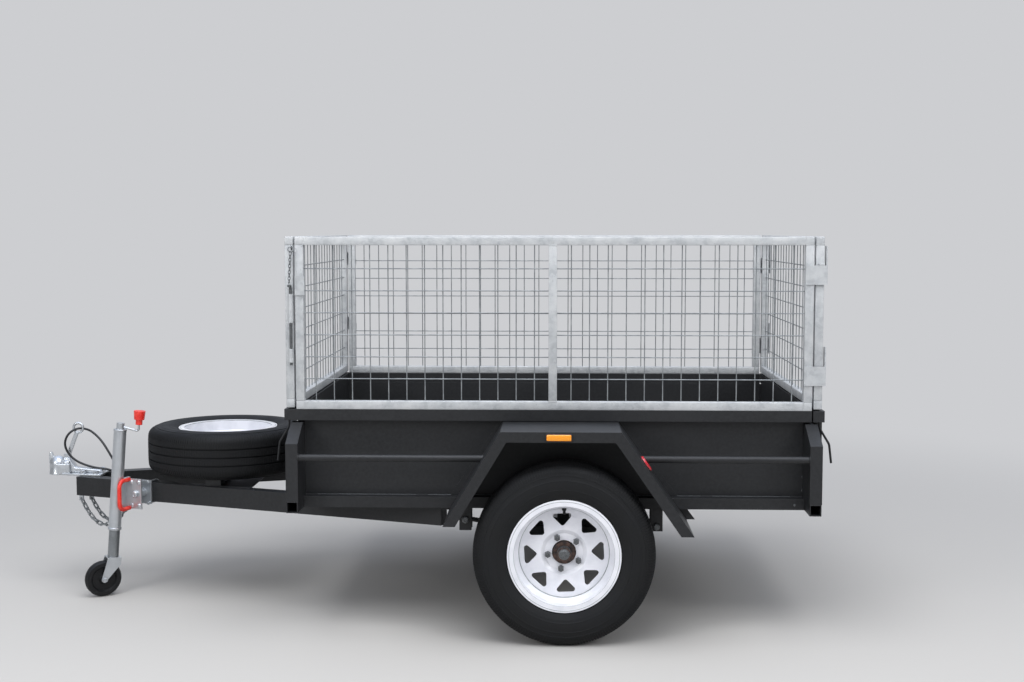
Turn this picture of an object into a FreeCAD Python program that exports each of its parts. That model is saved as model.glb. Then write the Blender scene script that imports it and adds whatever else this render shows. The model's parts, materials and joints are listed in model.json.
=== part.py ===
"""Box trailer with a mesh cage, a spare wheel and a jockey wheel.

Millimetres, +Z up, -X forward, -Y the left side. Heights count from the ground. Lengths along X count from
the middle of the tray, and row_shift then moves the whole trailer so that its middle is at the origin.
"""
import FreeCAD
import Part
import Sketcher
import math
import os
import re
from types import SimpleNamespace

from FreeCAD import Placement, Rotation, Vector

# Driving sizes
SIZES = {
    # tray
    "inner_length": 1830,
    "inner_width": 1224,
    "sheet": 2,
    "floor_height": 480,
    "top_rail_width": 43,
    "top_rail_height": 40,
    "top_rail_top": 792,
    # chassis under the floor
    "chassis_height": 40,
    "chassis_rail_width": 75,
    "cross_width": 40,
    "tube_wall": 3,
    "cross_inset": 1.5,
    "inner_cross_spacing": 450,
    # corner posts and tie rails
    "post_width": 43,
    "post_reach": 151,
    "post_top_gap": 7,
    "post_shoulder_drop": 62,
    "tie_radius": 12.5,
    "tie_height": 633,
    "tie_reach": 138,
    # drawbar
    "drawbar_height": 75,
    "drawbar_width": 50,
    "drawbar_wall": 3,
    "drawbar_angle": 19.5,
    "drawbar_reach": 1005,
    "drawbar_nose_half": 68,
    "drawbar_end_gap": 20,
    # coupling
    "coupling_lead": 132,
    "ball_radius": 25,
    "ball_clearance": 0.5,
    "socket_wall": 10.5,
    "socket_base": 449,
    "socket_depth": 30,
    "coupling_plate": 8,
    "coupling_plate_run": 97,
    "coupling_plate_half": 62,
    "coupling_neck_half": 24,
    "coupling_neck_height": 60,
    "coupling_neck_length": 58,
    "lever_width": 14,
    "lever_lead": 57,
    "lever_rise": 130,
    "lever_lean": 21,
    "lever_ring_radius": 19,
    "lever_ring_wire": 5,
    "nose_latch_length": 28,
    "nose_latch_half": 7,
    "nose_latch_top": 528,
    # road wheels
    "axle_position": 41,
    "tyre_radius": 316,
    "tyre_sides": 40,
    "track_half": 795,
    "sidewall_half": 92.5,
    "bead_half": 75,
    "bead_top": 198,
    "rim_half": 82.5,
    "rim_flange": 195,
    "rim_seat": 178,
    "rim_well": 162,
    "rim_well_half": 30,
    "rim_well_slope": 12,
    "rim_wall": 4,
    "disc_face": 10,
    "disc_flat": 66,
    "disc_crest": 18,
    "disc_crest_start": 80,
    "disc_crest_end": 90,
    "disc_edge": 20,
    "hub_hole": 42,
    "window_count": 8,
    "window_inner": 91,
    "window_outer": 138,
    "window_half": 43,
    "window_round": 9,
    "window_turn": 3,
    "soft_gap": 0.3,
    "hub_flange": 70,
    "hub_flange_wall": 12,
    "hub_barrel": 34,
    "hub_reach": 60,
    "hub_nose": 38,
    "hub_nose_length": 16,
    "cap_radius": 24,
    "cap_length": 26,
    "spindle_radius": 20,
    "spindle_clearance": 0.05,
    "axle_size": 45,
    "hub_gap": 1,
    # springs
    "spring_across": 617.5,
    "spring_width": 45,
    "leaf": 7,
    "leaf_count": 4,
    "spring_half": 352,
    "spring_radius": 2000,
    "eye_radius": 14,
    "hanger_bolt": 8,
    "bolt_clearance": 0.05,
    "hanger_plate": 5,
    "hanger_gap": 0.5,
    "hanger_length": 44,
    "hanger_bottom": 356,
    "clamp_plate": 6,
    "clamp_rod": 5,
    # mudguards
    "guard_reach": 912,
    "guard_top": 750,
    "guard_front_top": 176,
    "guard_rear_top": 233,
    "guard_front_foot": 373,
    "guard_front_foot_height": 424,
    "guard_rear_foot": 481,
    "guard_rear_foot_height": 394,
    "guard_lip": 36,
    "guard_flange": 25,
    # lamps
    "marker_length": 90,
    "marker_height": 27,
    "marker_depth": 14,
    "marker_position": 22,
    "reflector_radius": 30,
    "reflector_depth": 6,
    "reflector_height": 625,
    "reflector_across": 800,
    "tail_lamp_width": 85,
    "tail_lamp_height": 60,
    "tail_lamp_depth": 14,
    "tail_lamp_rise": 10,
    "tail_lamp_gap": 8,
    # spare wheel
    "spare_setoff": 401,
    "carrier_width": 60,
    "carrier_height": 25,
    "carrier_half": 262,
    "carrier_stud": 10,
    "carrier_disc": 62,
    "carrier_disc_wall": 6,
    "carrier_stud_top": 22,
    # tailgate
    "tailgate_gap": 5,
    "tailgate_side_gap": 7,
    "tailgate_depth": 40,
    "tailgate_frame": 30,
    "tailgate_hinge_out": 40,
    "tailgate_hinge_drop": 15,
    "hinge_across": 430,
    "hinge_pin": 6,
    "hinge_clearance": 0.05,
    "hinge_barrel": 10,
    "hinge_length": 60,
    "hinge_ear": 6,
    "hinge_ear_gap": 1,
    "latch_rod": 4,
    "latch_inset": 15,
    "latch_run": 22,
    "latch_knee": 80,
    "latch_knee_out": 20,
    "latch_foot": 147,
    "latch_foot_out": 28,
    "latch_bend": 30,
    # chains and cable
    "chain_wire": 4.5,
    "chain_gap": 1,
    "chain_inner": 9,
    "chain_inner_cut": 1.5,
    "chain_outer_cut": 5,
    "chain_front": 15,
    "chain_run": 215,
    "chain_sag": 100,
    "chain_count": 13,
    "chain_spacing": 28,
    "lug_wall": 5,
    "lug_half": 10,
    "lug_drop": 13,
    "lug_hole": 4.2,
    "cable_radius": 4.5,
    "gland_radius": 8,
    "gland_length": 5,
    "gland_lead": 30,
    "gland_position": 152,
    "gland_height": 408,
    "plug_radius": 14,
    "plug_neck": 8,
    "plug_neck_length": 18,
    "plug_length": 44,
    # cage
    "cage_tube": 30,
    "cage_height": 614,
    "cage_inset": 0.5,
    "gate_gap": 6.5,
    "gate_lift": 5,
    "gate_side_gap": 5,
    "wire": 3.6,
    "wire_gap": 0.3,
    "wire_pitch": 65,
    "wire_pitch_up": 78.5,
    "wires_up": 6,
    "strap_height": 68,
    "strap_wall": 5,
    "strap_top": 1306,
    "strap_spacing": 356,
    "strap_lip": 24,
    "strap_hook_rise": 68,
    "gate_lug_length": 20,
    "gate_lug_wall": 6,
    "latch_plate_length": 34,
    "latch_plate_top": 1267,
    "latch_plate_height": 68,
    "bolt_sleeve": 9,
    "bolt_rod": 5,
    "bolt_bottom": 950,
    "bolt_top": 1238,
    "bolt_handle": 34,
    "sleeve_top": 1203,
    "sleeve_length": 102,
    "guide_top": 1008,
    "guide_length": 48,
    "door_hinge_out": 14,
    "door_hinge_pin": 4,
    "door_hinge_barrel": 8,
    "door_hinge_length": 28,
    "door_hinge_top": 1330,
    "door_hinge_spacing": 290,
    # jockey wheel
    "jockey_setback": 216,
    "jockey_standoff": 85.3,
    "jockey_pivot_height": 400,
    "jockey_lean": 4.5,
    "jockey_pivot_back": 68,
    "jockey_tube_radius": 24,
    "jockey_leg_radius": 21,
    "jockey_clearance": 0.05,
    "jockey_tube_top": 256,
    "jockey_tube_bottom": 138,
    "jockey_leg_inside": 200,
    "jockey_wheel_radius": 70,
    "jockey_wheel_half": 18,
    "jockey_tread_half": 6,
    "jockey_shoulder": 64,
    "jockey_web_half": 10,
    "jockey_web_start": 20,
    "jockey_web_end": 44,
    "jockey_bowl_end": 50,
    "jockey_hub": 15,
    "jockey_axle": 6,
    "jockey_trail": 34,
    "jockey_turn": 33,
    "fork_wall": 4,
    "fork_gap": 4,
    "fork_clearance": 12,
    "fork_half_length": 26,
    "kingpin_radius": 8,
    "kingpin_length": 20,
    "cap_radius_top": 15,
    "cap_height": 26,
    "cap_inset": 18,
    "crank_reach": 72,
    "crank_dip": 14,
    "crank_rod": 4,
    "crank_bend": 8,
    "crank_rise": 12,
    "knob_neck": 13,
    "knob_neck_height": 20,
    "knob_radius": 22.5,
    "knob_height": 34,
    "bracket_wall": 6,
    "bracket_height": 92,
    "bracket_back": 36,
    "bracket_lead": 50,
    "bracket_gap": 5,
    "swivel_height": 118,
    "swivel_back": 26,
    "swivel_lead": 14,
    "saddle_wall": 5,
    "saddle_half": 22,
    "pivot_radius": 16,
    "pivot_pin": 8,
    "handle_rod": 8,
    "handle_bend": 26,
    "handle_half": 56,
    "handle_back": 39,
    "handle_gap": 2,
}

# Sizes that follow from the driving ones
DERIVED = {
    "inner_half_length": "inner_length / 2",
    "inner_half": "inner_width / 2",
    "sheet_half": "inner_half + sheet",
    "tray_half": "inner_half + top_rail_width",
    "tray_end": "inner_half_length + top_rail_width",
    "chassis_top": "floor_height - sheet",
    "chassis_bottom": "chassis_top - chassis_height",
    "top_rail_bottom": "top_rail_top - top_rail_height",
    "post_top": "top_rail_bottom - post_top_gap",
    "post_half": "sheet_half + post_reach",
    "tie_across": "sheet_half + tie_reach",
    "cross_centre": "inner_half_length - cross_inset",
    "chassis_inner": "tray_half - chassis_rail_width",
    "drawbar_nose": "inner_half_length + drawbar_reach",
    "drawbar_run": "(inner_half - drawbar_nose_half) / sin(drawbar_angle) - drawbar_end_gap",
    "coupling_nose": "drawbar_nose + coupling_lead",
    "coupling_plate_end": "drawbar_nose - coupling_plate_run",
    "lever_root": "drawbar_nose + lever_lead",
    "jockey_forward": "drawbar_nose - jockey_setback",
    "jockey_rail": "drawbar_nose_half + jockey_setback * tan(drawbar_angle)",
    "jockey_across": "jockey_rail + jockey_standoff / cos(drawbar_angle)",
    "spare_position": "inner_half_length + spare_setoff",
    "cage_half_length": "inner_half_length - cage_inset",
    "drawbar_top": "chassis_bottom",
    "drawbar_bottom": "drawbar_top - drawbar_height",
    "gate_bottom": "top_rail_top + gate_lift",
    "gate_half": "tray_half - gate_side_gap",
    "gate_inner": "cage_half_length + gate_gap",
    "gate_outer": "gate_inner + cage_tube",
    "cage_top": "top_rail_top + cage_height",
    "tailgate_front": "inner_half_length + tailgate_gap",
    "tailgate_back": "tailgate_front + tailgate_depth",
    "tailgate_bottom": "floor_height + tailgate_gap",
    "tailgate_half": "sheet_half - tailgate_side_gap",
    "hinge_position": "inner_half_length + tailgate_hinge_out",
    "hinge_height": "tailgate_bottom - tailgate_hinge_drop",
    "disc_back": "disc_face - rim_wall",
    "axle_top": "tyre_radius + axle_size / 2",
    "spare_height": "drawbar_top + carrier_height + sidewall_half + soft_gap",
    "strap_back": "gate_outer + gate_side_gap + strap_wall",
    "trailer_back": "max(tailgate_back; strap_back; hinge_position + hinge_barrel)",
    "tail_lamp_across": "tailgate_half + tail_lamp_gap + tail_lamp_width / 2",
    "tail_lamp_bottom": "chassis_top + tail_lamp_rise",
    "latch_across": "tray_half - latch_inset",
    "row_shift": "(coupling_nose - trailer_back) / 2",
}

doc = FreeCAD.newDocument("trailer")
sheet = doc.addObject("Spreadsheet::Sheet", "Sizes")
cells = [(name, str(value)) for name, value in SIZES.items()]
cells += [(name, "=" + text) for name, text in DERIVED.items()]
for row, (name, text) in enumerate(cells, start=1):
    sheet.set(f"A{row}", name)
    sheet.set(f"B{row}", text)
    sheet.setAlias(f"B{row}", name)
doc.recompute()
size = SimpleNamespace(**{name: float(sheet.get(name)) for name, _ in cells})

# A tyre's sidewall and shoulder, as shares of its half width and of its height above the rim
SIDEWALL_SHARES = [(0.93, 0.14), (1, 0.42), (1, 0.56), (0.95, 0.76), (0.84, 0.92), (0.74, 0.98), (0.56, 1)]
# Each arc of a cable takes this share of the shorter run beside it
ARC_SHARE = 0.45
# The wiring cable's route, from the drawbar through the lever's ring and back between the rails
CABLE_ROUTE = [
    (-1766.3, -64.1, 408),
    (-1756.3, -35.8, 408),
    (-1755, -11, 422),
    (-1765, 3, 448),
    (-1786, 8, 484),
    (-1812, 13, 526),
    (-1836, 20, 562),
    (-1864, 27, 592),
    (-1899, 26, 619),
    (-1936, -5, 627),
    (-1966, -27, 605),
    (-1981, -26, 565),
    (-1969, -21, 526),
    (-1938, -17, 494),
    (-1898, -8, 474),
    (-1857, 4, 461),
    (-1819, 16, 456),
    (-1790, 21, 442),
    (-1774, 23, 418),
    (-1769, 23, 388),
]

NAME = re.compile(r"\b[a-z][a-z0-9_]*\b(?!\()")
START = {}
pieces = []


def bound(text):
    """A formula with each name pointing at its cell."""
    return NAME.sub(lambda found: "Sizes." + found.group(), text)


def value(text):
    """The number that a formula stands for."""
    return float(sheet.evalExpression(text))


# A formula for no distance
NONE = "0 * sheet"


def place(thing, x, y, z):
    """Bind an object's place to three formulas."""
    for axis, text in zip("xyz", (x, y, z)):
        thing.setExpression("Placement.Base." + axis, bound(text))
    START[thing.Name] = x
    return thing


def box(name, x, y, z):
    """A block between three (low, high) pairs of formulas."""
    block = doc.addObject("Part::Box", name)
    for side, (low, high) in zip(("Length", "Width", "Height"), (x, y, z)):
        block.setExpression(side, bound(f"({high}) - ({low})"))
    return place(block, x[0], y[0], z[0])


TURNS = {
    "x": Rotation(Vector(0, 1, 0), 90),
    "y": Rotation(Vector(1, 0, 0), -90),
    "z": Rotation(),
}


def rod(name, radius, length, x, y, z, along="z"):
    """A round bar that starts at x, y, z and runs along one axis."""
    bar = doc.addObject("Part::Cylinder", name)
    bar.setExpression("Radius", bound(radius))
    bar.setExpression("Height", bound(length))
    bar.Placement = Placement(Vector(), TURNS[along])
    return place(bar, x, y, z)


def fuse(name, *parts):
    """Several shapes joined into one."""
    whole = doc.addObject("Part::MultiFuse", name)
    whole.Shapes = list(parts)
    return whole


def group(name, *parts):
    """Like pieces kept as separate solids of one node."""
    whole = doc.addObject("Part::Compound", name)
    whole.Links = list(parts)
    return whole


def cut(name, base, *tools):
    """One shape with others cut out of it."""
    left = doc.addObject("Part::Cut", name)
    left.Base = base
    left.Tool = tools[0] if len(tools) == 1 else fuse(name + "_tools", *tools)
    return left


def mirror(name, source, normal=Vector(0, 1, 0)):
    """The same piece on the other side."""
    twin = doc.addObject("Part::Mirroring", name)
    twin.Source = source
    twin.Normal = normal
    return twin


def shape(name, solid):
    """A piece whose solid is worked out from the sheet."""
    thing = doc.addObject("Part::Feature", name)
    thing.Shape = solid
    return thing


def finish(label, thing, at=None, moved=True):
    """Name a finished piece and move it from the tray's middle to the trailer's."""
    thing.Label = label
    if at is not None:
        thing.Placement = at
    elif moved:
        thing.setExpression("Placement.Base.x", bound("row_shift + " + START.get(thing.Name, NONE)))
    pieces.append(thing)
    return thing


def sketch(body, role, outlines, offset=NONE):
    """A sketch of closed outlines with straight sides, each corner bound to two formulas."""
    drawing = body.newObject("Sketcher::SketchObject", body.Name + "_sketch")
    plane = next(item for item in body.Origin.OriginFeatures if item.Role == role)
    drawing.AttachmentSupport = [(plane, "")]
    drawing.MapMode = "FlatFace"
    drawing.setExpression("AttachmentOffset.Base.z", bound(offset))
    for corners in outlines:
        points = [Vector(value(across), value(up), 0) for across, up in corners]
        first = drawing.GeometryCount
        for index, point in enumerate(points):
            after = points[(index + 1) % len(points)]
            drawing.addGeometry(Part.LineSegment(point, after), False)
        for index, (across, up) in enumerate(corners):
            side = first + index
            after = first + (index + 1) % len(corners)
            drawing.addConstraint(Sketcher.Constraint("Coincident", side, 2, after, 1))
            for kind, text, number in (
                ("DistanceX", across, points[index].x),
                ("DistanceY", up, points[index].y),
            ):
                held = drawing.addConstraint(Sketcher.Constraint(kind, -1, 1, side, 1, number))
                drawing.setExpression(f"Constraints[{held}]", bound(text))
    return drawing


def pad(body, drawing, length, reverse=False):
    """A sketch pushed out into a plate or bar."""
    plate = body.newObject("PartDesign::Pad", body.Name + "_pad")
    plate.Profile = drawing
    plate.setExpression("Length", bound(length))
    plate.Reversed = reverse
    drawing.Visibility = False
    body.Tip = plate
    return plate


def pattern(body, feature, drawing, axis, length, count):
    """A feature repeated along one of its sketch's axes."""
    row = body.newObject("PartDesign::LinearPattern", body.Name + "_row")
    row.Originals = [feature]
    row.Direction = (drawing, [axis])
    row.setExpression("Length", bound(length))
    row.setExpression("Occurrences", bound(count))
    body.Tip = row
    return row


def revolve(name, outline):
    """A body turned about its Y axis from an outline of (along, radius) corners."""
    body = doc.addObject("PartDesign::Body", name)
    drawing = sketch(body, "YZ_Plane", [outline])
    turned = body.newObject("PartDesign::Revolution", name + "_turned")
    turned.Profile = drawing
    turned.ReferenceAxis = (drawing, ["H_Axis"])
    turned.Angle = 360
    body.Tip = turned
    return body


def both(corners):
    """An outline's corners on one side of the middle, followed by their mirror images."""
    return corners + [("-(" + along + ")", out) for along, out in reversed(corners)]


def rod_path(points, bends):
    """Straight runs through points, joined by an arc of each bend."""
    edges = []
    start = points[0]
    for before, corner, after, bend in zip(points, points[1:], points[2:], bends):
        into = (corner - before).normalize()
        out = (after - corner).normalize()
        half = into.getAngle(out) / 2
        first = corner - into * bend * math.tan(half)
        last = corner + out * bend * math.tan(half)
        middle = corner + (out - into).normalize() * bend * (1 / math.cos(half) - 1)
        edges.append(Part.makeLine(start, first))
        edges.append(Part.Arc(first, middle, last).toShape())
        start = last
    edges.append(Part.makeLine(start, points[-1]))
    return Part.Wire(edges)


def bent_rod(points, bends, radius):
    """A round rod or cable along a path of runs and arcs."""
    ring = Part.Wire([Part.makeCircle(radius, points[0], points[1] - points[0])])
    return rod_path(points, bends).makePipeShell([ring], True, False)


def widest_bends(points):
    """The largest bend that each corner's runs leave room for."""
    bends = []
    for before, corner, after in zip(points, points[1:], points[2:]):
        into = corner - before
        out = after - corner
        room = ARC_SHARE * min(into.Length, out.Length)
        bends.append(room / math.tan(into.getAngle(out) / 2))
    return bends


def tyre(name):
    """A radial tyre about the Y axis, of flat facets that touch the round tyre from outside."""
    crown = size.tyre_radius - size.bead_top
    half = [(size.bead_half, size.rim_seat + size.soft_gap), (size.bead_half, size.bead_top)]
    half += [(out * size.sidewall_half, size.bead_top + up * crown) for out, up in SIDEWALL_SHARES]
    outline = half + [(-along, radius) for along, radius in reversed(half)]
    sides = int(size.tyre_sides)
    spread = 1 / math.cos(math.pi / sides)
    turns = [2 * math.pi * (side + 0.5) / sides for side in range(sides + 1)]
    rings = [
        [Vector(radius * spread * math.sin(turn), along, radius * spread * math.cos(turn)) for turn in turns]
        for along, radius in outline
    ]
    faces = []
    for ring, following in zip(rings, rings[1:] + rings[:1]):
        for side in range(sides):
            corners = [ring[side], ring[side + 1], following[side + 1], following[side]]
            faces.append(Part.Face(Part.makePolygon(corners + corners[:1])))
    return shape(name, Part.Solid(Part.Shell(faces)))


def rim(name):
    """A pressed steel rim: flanges, seats, well, and a dished disc with eight windows."""
    back = "disc_edge - rim_wall"
    body = revolve(name + "_turned", [
        ("rim_half", "rim_flange"),
        ("rim_half - rim_wall", "rim_flange"),
        ("rim_half - rim_wall", "rim_seat"),
        ("rim_well_half + rim_well_slope", "rim_seat"),
        ("rim_well_half", "rim_well"),
        ("-rim_well_half", "rim_well"),
        ("-rim_well_half - rim_well_slope", "rim_seat"),
        ("rim_wall - rim_half", "rim_seat"),
        ("rim_wall - rim_half", "rim_flange"),
        ("-rim_half", "rim_flange"),
        ("-rim_half", "rim_seat - rim_wall"),
        ("-rim_well_half - rim_well_slope", "rim_seat - rim_wall"),
        ("-rim_well_half", "rim_well - rim_wall"),
        (back, "rim_well - rim_wall"),
        ("disc_crest - rim_wall", "disc_crest_end"),
        ("disc_crest - rim_wall", "disc_crest_start"),
        ("disc_back", "disc_flat"),
        ("disc_back", "hub_hole"),
        ("disc_face", "hub_hole"),
        ("disc_face", "disc_flat"),
        ("disc_crest", "disc_crest_start"),
        ("disc_crest", "disc_crest_end"),
        ("disc_edge", "rim_well - rim_wall"),
        ("rim_well_half", "rim_well - rim_wall"),
        ("rim_well_half + rim_well_slope", "rim_seat - rim_wall"),
        ("rim_half", "rim_seat - rim_wall"),
    ])
    corners = [
        Vector(0, -size.rim_well_half, size.window_inner),
        Vector(size.window_half, -size.rim_well_half, size.window_outer),
        Vector(-size.window_half, -size.rim_well_half, size.window_outer),
    ]
    face = Part.Face(Part.makePolygon(corners + corners[:1]))
    deep = size.rim_well_half * 2
    prism = face.extrude(Vector(0, deep, 0))
    upright = [edge for edge in prism.Edges if abs(edge.BoundBox.YLength - deep) < size.sheet]
    window = prism.makeFillet(size.window_round, upright)
    count = int(size.window_count)
    turns = [360 / count * step + size.window_turn for step in range(count)]
    windows = [window.rotated(Vector(), Vector(0, 1, 0), turn) for turn in turns]
    return cut(name, body, shape(name + "_windows", Part.makeCompound(windows)))


def hub(name):
    """A bearing hub: wheel flange, inner barrel, nose and dust cap, bored for the spindle."""
    bore = "spindle_radius + spindle_clearance"
    inner = "disc_back - hub_flange_wall"
    nose = "disc_back + hub_nose_length"
    return revolve(name, [
        ("-hub_reach", bore),
        ("-hub_reach", "hub_barrel"),
        (inner, "hub_barrel"),
        (inner, "hub_flange"),
        ("disc_back", "hub_flange"),
        ("disc_back", "hub_nose"),
        (nose, "hub_nose"),
        (nose, "cap_radius"),
        (nose + " + cap_length", "cap_radius"),
        (nose + " + cap_length", NONE),
        (nose, NONE),
        (nose, bore),
    ])


def stand(thing, side):
    """Put a wheel piece on the left or right end of the axle, its face outward."""
    turn = Rotation(Vector(0, 0, 1), 180 if side < 0 else 0)
    at = Vector(size.row_shift + size.axle_position, side * size.track_half, size.tyre_radius)
    return Placement(at, turn)


def wheels():
    """The two road wheels and the spare, which lies face up on its carrier."""
    for side, word in ((-1, "left"), (1, "right")):
        for maker, kind in ((tyre, "tyre"), (rim, "rim"), (hub, "hub")):
            piece = maker(f"{kind}_{word}")
            finish(f"{kind}_{word}", piece, stand(piece, side))
    lying = Placement(
        Vector(size.row_shift - size.spare_position, 0, size.spare_height),
        Rotation(Vector(1, 0, 0), 90),
    )
    finish("spare_tyre", tyre("spare_tyre"), lying)
    finish("spare_rim", rim("spare_rim"), lying)
    x = "-spare_position"
    disc_top = "spare_height + disc_face"
    finish("spare_carrier", fuse(
        "spare_carrier",
        box("carrier_bar", (x + " - carrier_width / 2", x + " + carrier_width / 2"),
            ("-carrier_half", "carrier_half"), ("drawbar_top", "drawbar_top + carrier_height")),
        rod("carrier_stud_bar", "carrier_stud",
            f"{disc_top} + carrier_disc_wall + carrier_stud_top - drawbar_top - carrier_height / 2",
            x, NONE, "drawbar_top + carrier_height / 2"),
        rod("carrier_cap", "carrier_disc", "carrier_disc_wall", x, NONE, disc_top),
    ))


def open_tube(name, x, y, z, along):
    """A rectangular tube, open at both ends, its wall tube_wall thick."""
    outer = box(name + "_outer", x, y, z)
    spans = {"x": x, "y": y, "z": z}
    inner = {
        axis: span if axis == along else (f"{span[0]} + tube_wall", f"{span[1]} - tube_wall")
        for axis, span in spans.items()
    }
    return cut(name, outer, box(name + "_inner", inner["x"], inner["y"], inner["z"]))


def chassis():
    """The floor's frame, the drawbar rails, the floor, and the tray's fixed walls."""
    level = ("chassis_bottom", "chassis_top")
    cross_edge = "cross_centre - cross_width / 2"
    near = box("chassis_rail", ("-(" + cross_edge + ")", cross_edge), ("-tray_half", "-chassis_inner"), level)
    finish("chassis_rails", group("chassis_rails", near, mirror("chassis_rail_far", near)))
    ends = []
    for word, sign in (("front", "-"), ("rear", "")):
        middle = f"{sign}cross_centre"
        ends.append(open_tube(
            "cross_" + word, (middle + " - cross_width / 2", middle + " + cross_width / 2"),
            ("-post_half", "post_half"), level, "y",
        ))
    for index, step in enumerate(("-inner_cross_spacing", NONE, "inner_cross_spacing")):
        ends.append(box(
            f"cross_inner_{index}", (step + " - cross_width / 2", step + " + cross_width / 2"),
            ("-chassis_inner", "chassis_inner"), level,
        ))
    finish("cross_members", group("cross_members", *ends))
    finish("tray_floor", box(
        "tray_floor", ("-inner_half_length", "inner_half_length"), ("-inner_half", "inner_half"),
        ("chassis_top", "floor_height"),
    ))
    wall = ("chassis_top", "top_rail_bottom")
    side = finish("side_panel_left", box(
        "side_panel", ("-inner_half_length", "inner_half_length"), ("-sheet_half", "-inner_half"), wall,
    ))
    finish("side_panel_right", mirror("side_panel_far", side), moved=False)
    finish("front_panel", box(
        "front_panel", ("-inner_half_length - sheet", "-inner_half_length"), ("-sheet_half", "sheet_half"),
        wall,
    ))
    finish("top_rail", cut(
        "top_rail",
        box("top_rail_outer", ("-tray_end", "inner_half_length"), ("-tray_half", "tray_half"),
            ("top_rail_bottom", "top_rail_top")),
        box("top_rail_inner", ("-inner_half_length", "tray_end"), ("-inner_half", "inner_half"),
            ("chassis_bottom", "top_rail_top + sheet")),
    ))
    angle = math.radians(size.drawbar_angle)
    start = Vector(-size.drawbar_nose, -size.drawbar_nose_half, size.drawbar_bottom)
    outer = doc.addObject("Part::Box", "drawbar_outer")
    inner = doc.addObject("Part::Box", "drawbar_inner")
    for block, trim in ((outer, NONE), (inner, "2 * drawbar_wall")):
        block.setExpression("Length", bound("drawbar_run"))
        block.setExpression("Width", bound("drawbar_width - " + trim))
        block.setExpression("Height", bound("drawbar_height - " + trim))
    outer.Placement = Placement(start, Rotation(Vector(0, 0, 1), -size.drawbar_angle))
    across = Vector(math.sin(angle), math.cos(angle), 1) * size.drawbar_wall
    inner.Placement = Placement(start + across, Rotation(Vector(0, 0, 1), -size.drawbar_angle))
    left = finish("drawbar_rail_left", cut("drawbar_rail", outer, inner))
    finish("drawbar_rail_right", mirror("drawbar_rail_far", left), moved=False)


def corner_posts():
    """The folded box posts that stand outside the tray's corners on the cross-member ends."""
    body = doc.addObject("PartDesign::Body", "corner_post")
    outline = [
        ("-sheet_half", "chassis_top"),
        ("-post_half", "chassis_top"),
        ("-post_half", "post_top - post_shoulder_drop"),
        ("-tray_half", "post_top"),
        ("-sheet_half", "post_top"),
    ]
    pad(body, sketch(body, "YZ_Plane", [outline], "cross_centre - post_width / 2"), "post_width")
    front = mirror("corner_post_front", body, Vector(1, 0, 0))
    right = mirror("corner_post_right", body)
    finish("corner_posts", group("corner_posts", body, front, right, mirror("corner_post_last", front)))


def guard_path(depth):
    """A mudguard's outline at some depth inside its outer sheet, from the front foot to the rear one."""
    front = "(guard_front_foot - guard_front_top) / (guard_top - guard_front_foot_height)"
    rear = "(guard_rear_foot - guard_rear_top) / (guard_top - guard_rear_foot_height)"
    front_inset = f"{depth} * sqrt(1 + pow({front}; 2))"
    rear_inset = f"{depth} * sqrt(1 + pow({rear}; 2))"
    return [
        (f"-guard_front_foot + {front_inset}", "guard_front_foot_height"),
        (f"-guard_front_top - {front} * ({depth}) + {front_inset}", f"guard_top - ({depth})"),
        (f"guard_rear_top + {rear} * ({depth}) - {rear_inset}", f"guard_top - ({depth})"),
        (f"guard_rear_foot - {rear_inset}", "guard_rear_foot_height"),
    ]


def mudguards():
    """Folded mudguards with an outer lip, and a flange that seats each leg on the tray's side."""
    body = doc.addObject("PartDesign::Body", "mudguard")
    arch = guard_path(NONE) + guard_path("sheet")[::-1]
    pad(body, sketch(body, "XZ_Plane", [arch], "sheet_half"), "guard_reach - sheet_half")
    lip = guard_path(NONE) + guard_path("guard_lip")[::-1]
    pad(body, sketch(body, "XZ_Plane", [lip], "guard_reach - sheet"), "sheet")
    inner = guard_path("sheet")
    outer = guard_path("-guard_flange")
    for first, second in ((0, 1), (3, 2)):
        level = inner[second][1]
        top = (outer[second][0], level)
        leg = [inner[first], inner[second], top, outer[first]]
        pad(body, sketch(body, "XZ_Plane", [leg], "sheet_half"), "sheet")
    notch = box("mudguard_notch", ("-tray_end", "tray_end"), ("-tray_half", "-sheet_half"),
                ("chassis_bottom", "chassis_top"))
    left = finish("mudguard_left", cut("mudguard_notched", body, notch))
    finish("mudguard_right", mirror("mudguard_far", left), moved=False)


def tie_rails():
    """Round tie rails from the corner posts to the mudguards' sloping faces."""
    reach = "cross_centre - post_width / 2"
    whole = rod("tie_bar", "tie_radius", f"2 * ({reach})", f"-({reach})", "-tie_across", "tie_height", "x")
    body = doc.addObject("PartDesign::Body", "tie_stop")
    pad(body, sketch(body, "XZ_Plane", [guard_path(NONE)], "sheet_half"), "guard_reach - sheet_half")
    left = cut("tie_rails_left", whole, body)
    finish("tie_rails", group("tie_rails", left, mirror("tie_rails_right", left)))


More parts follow.
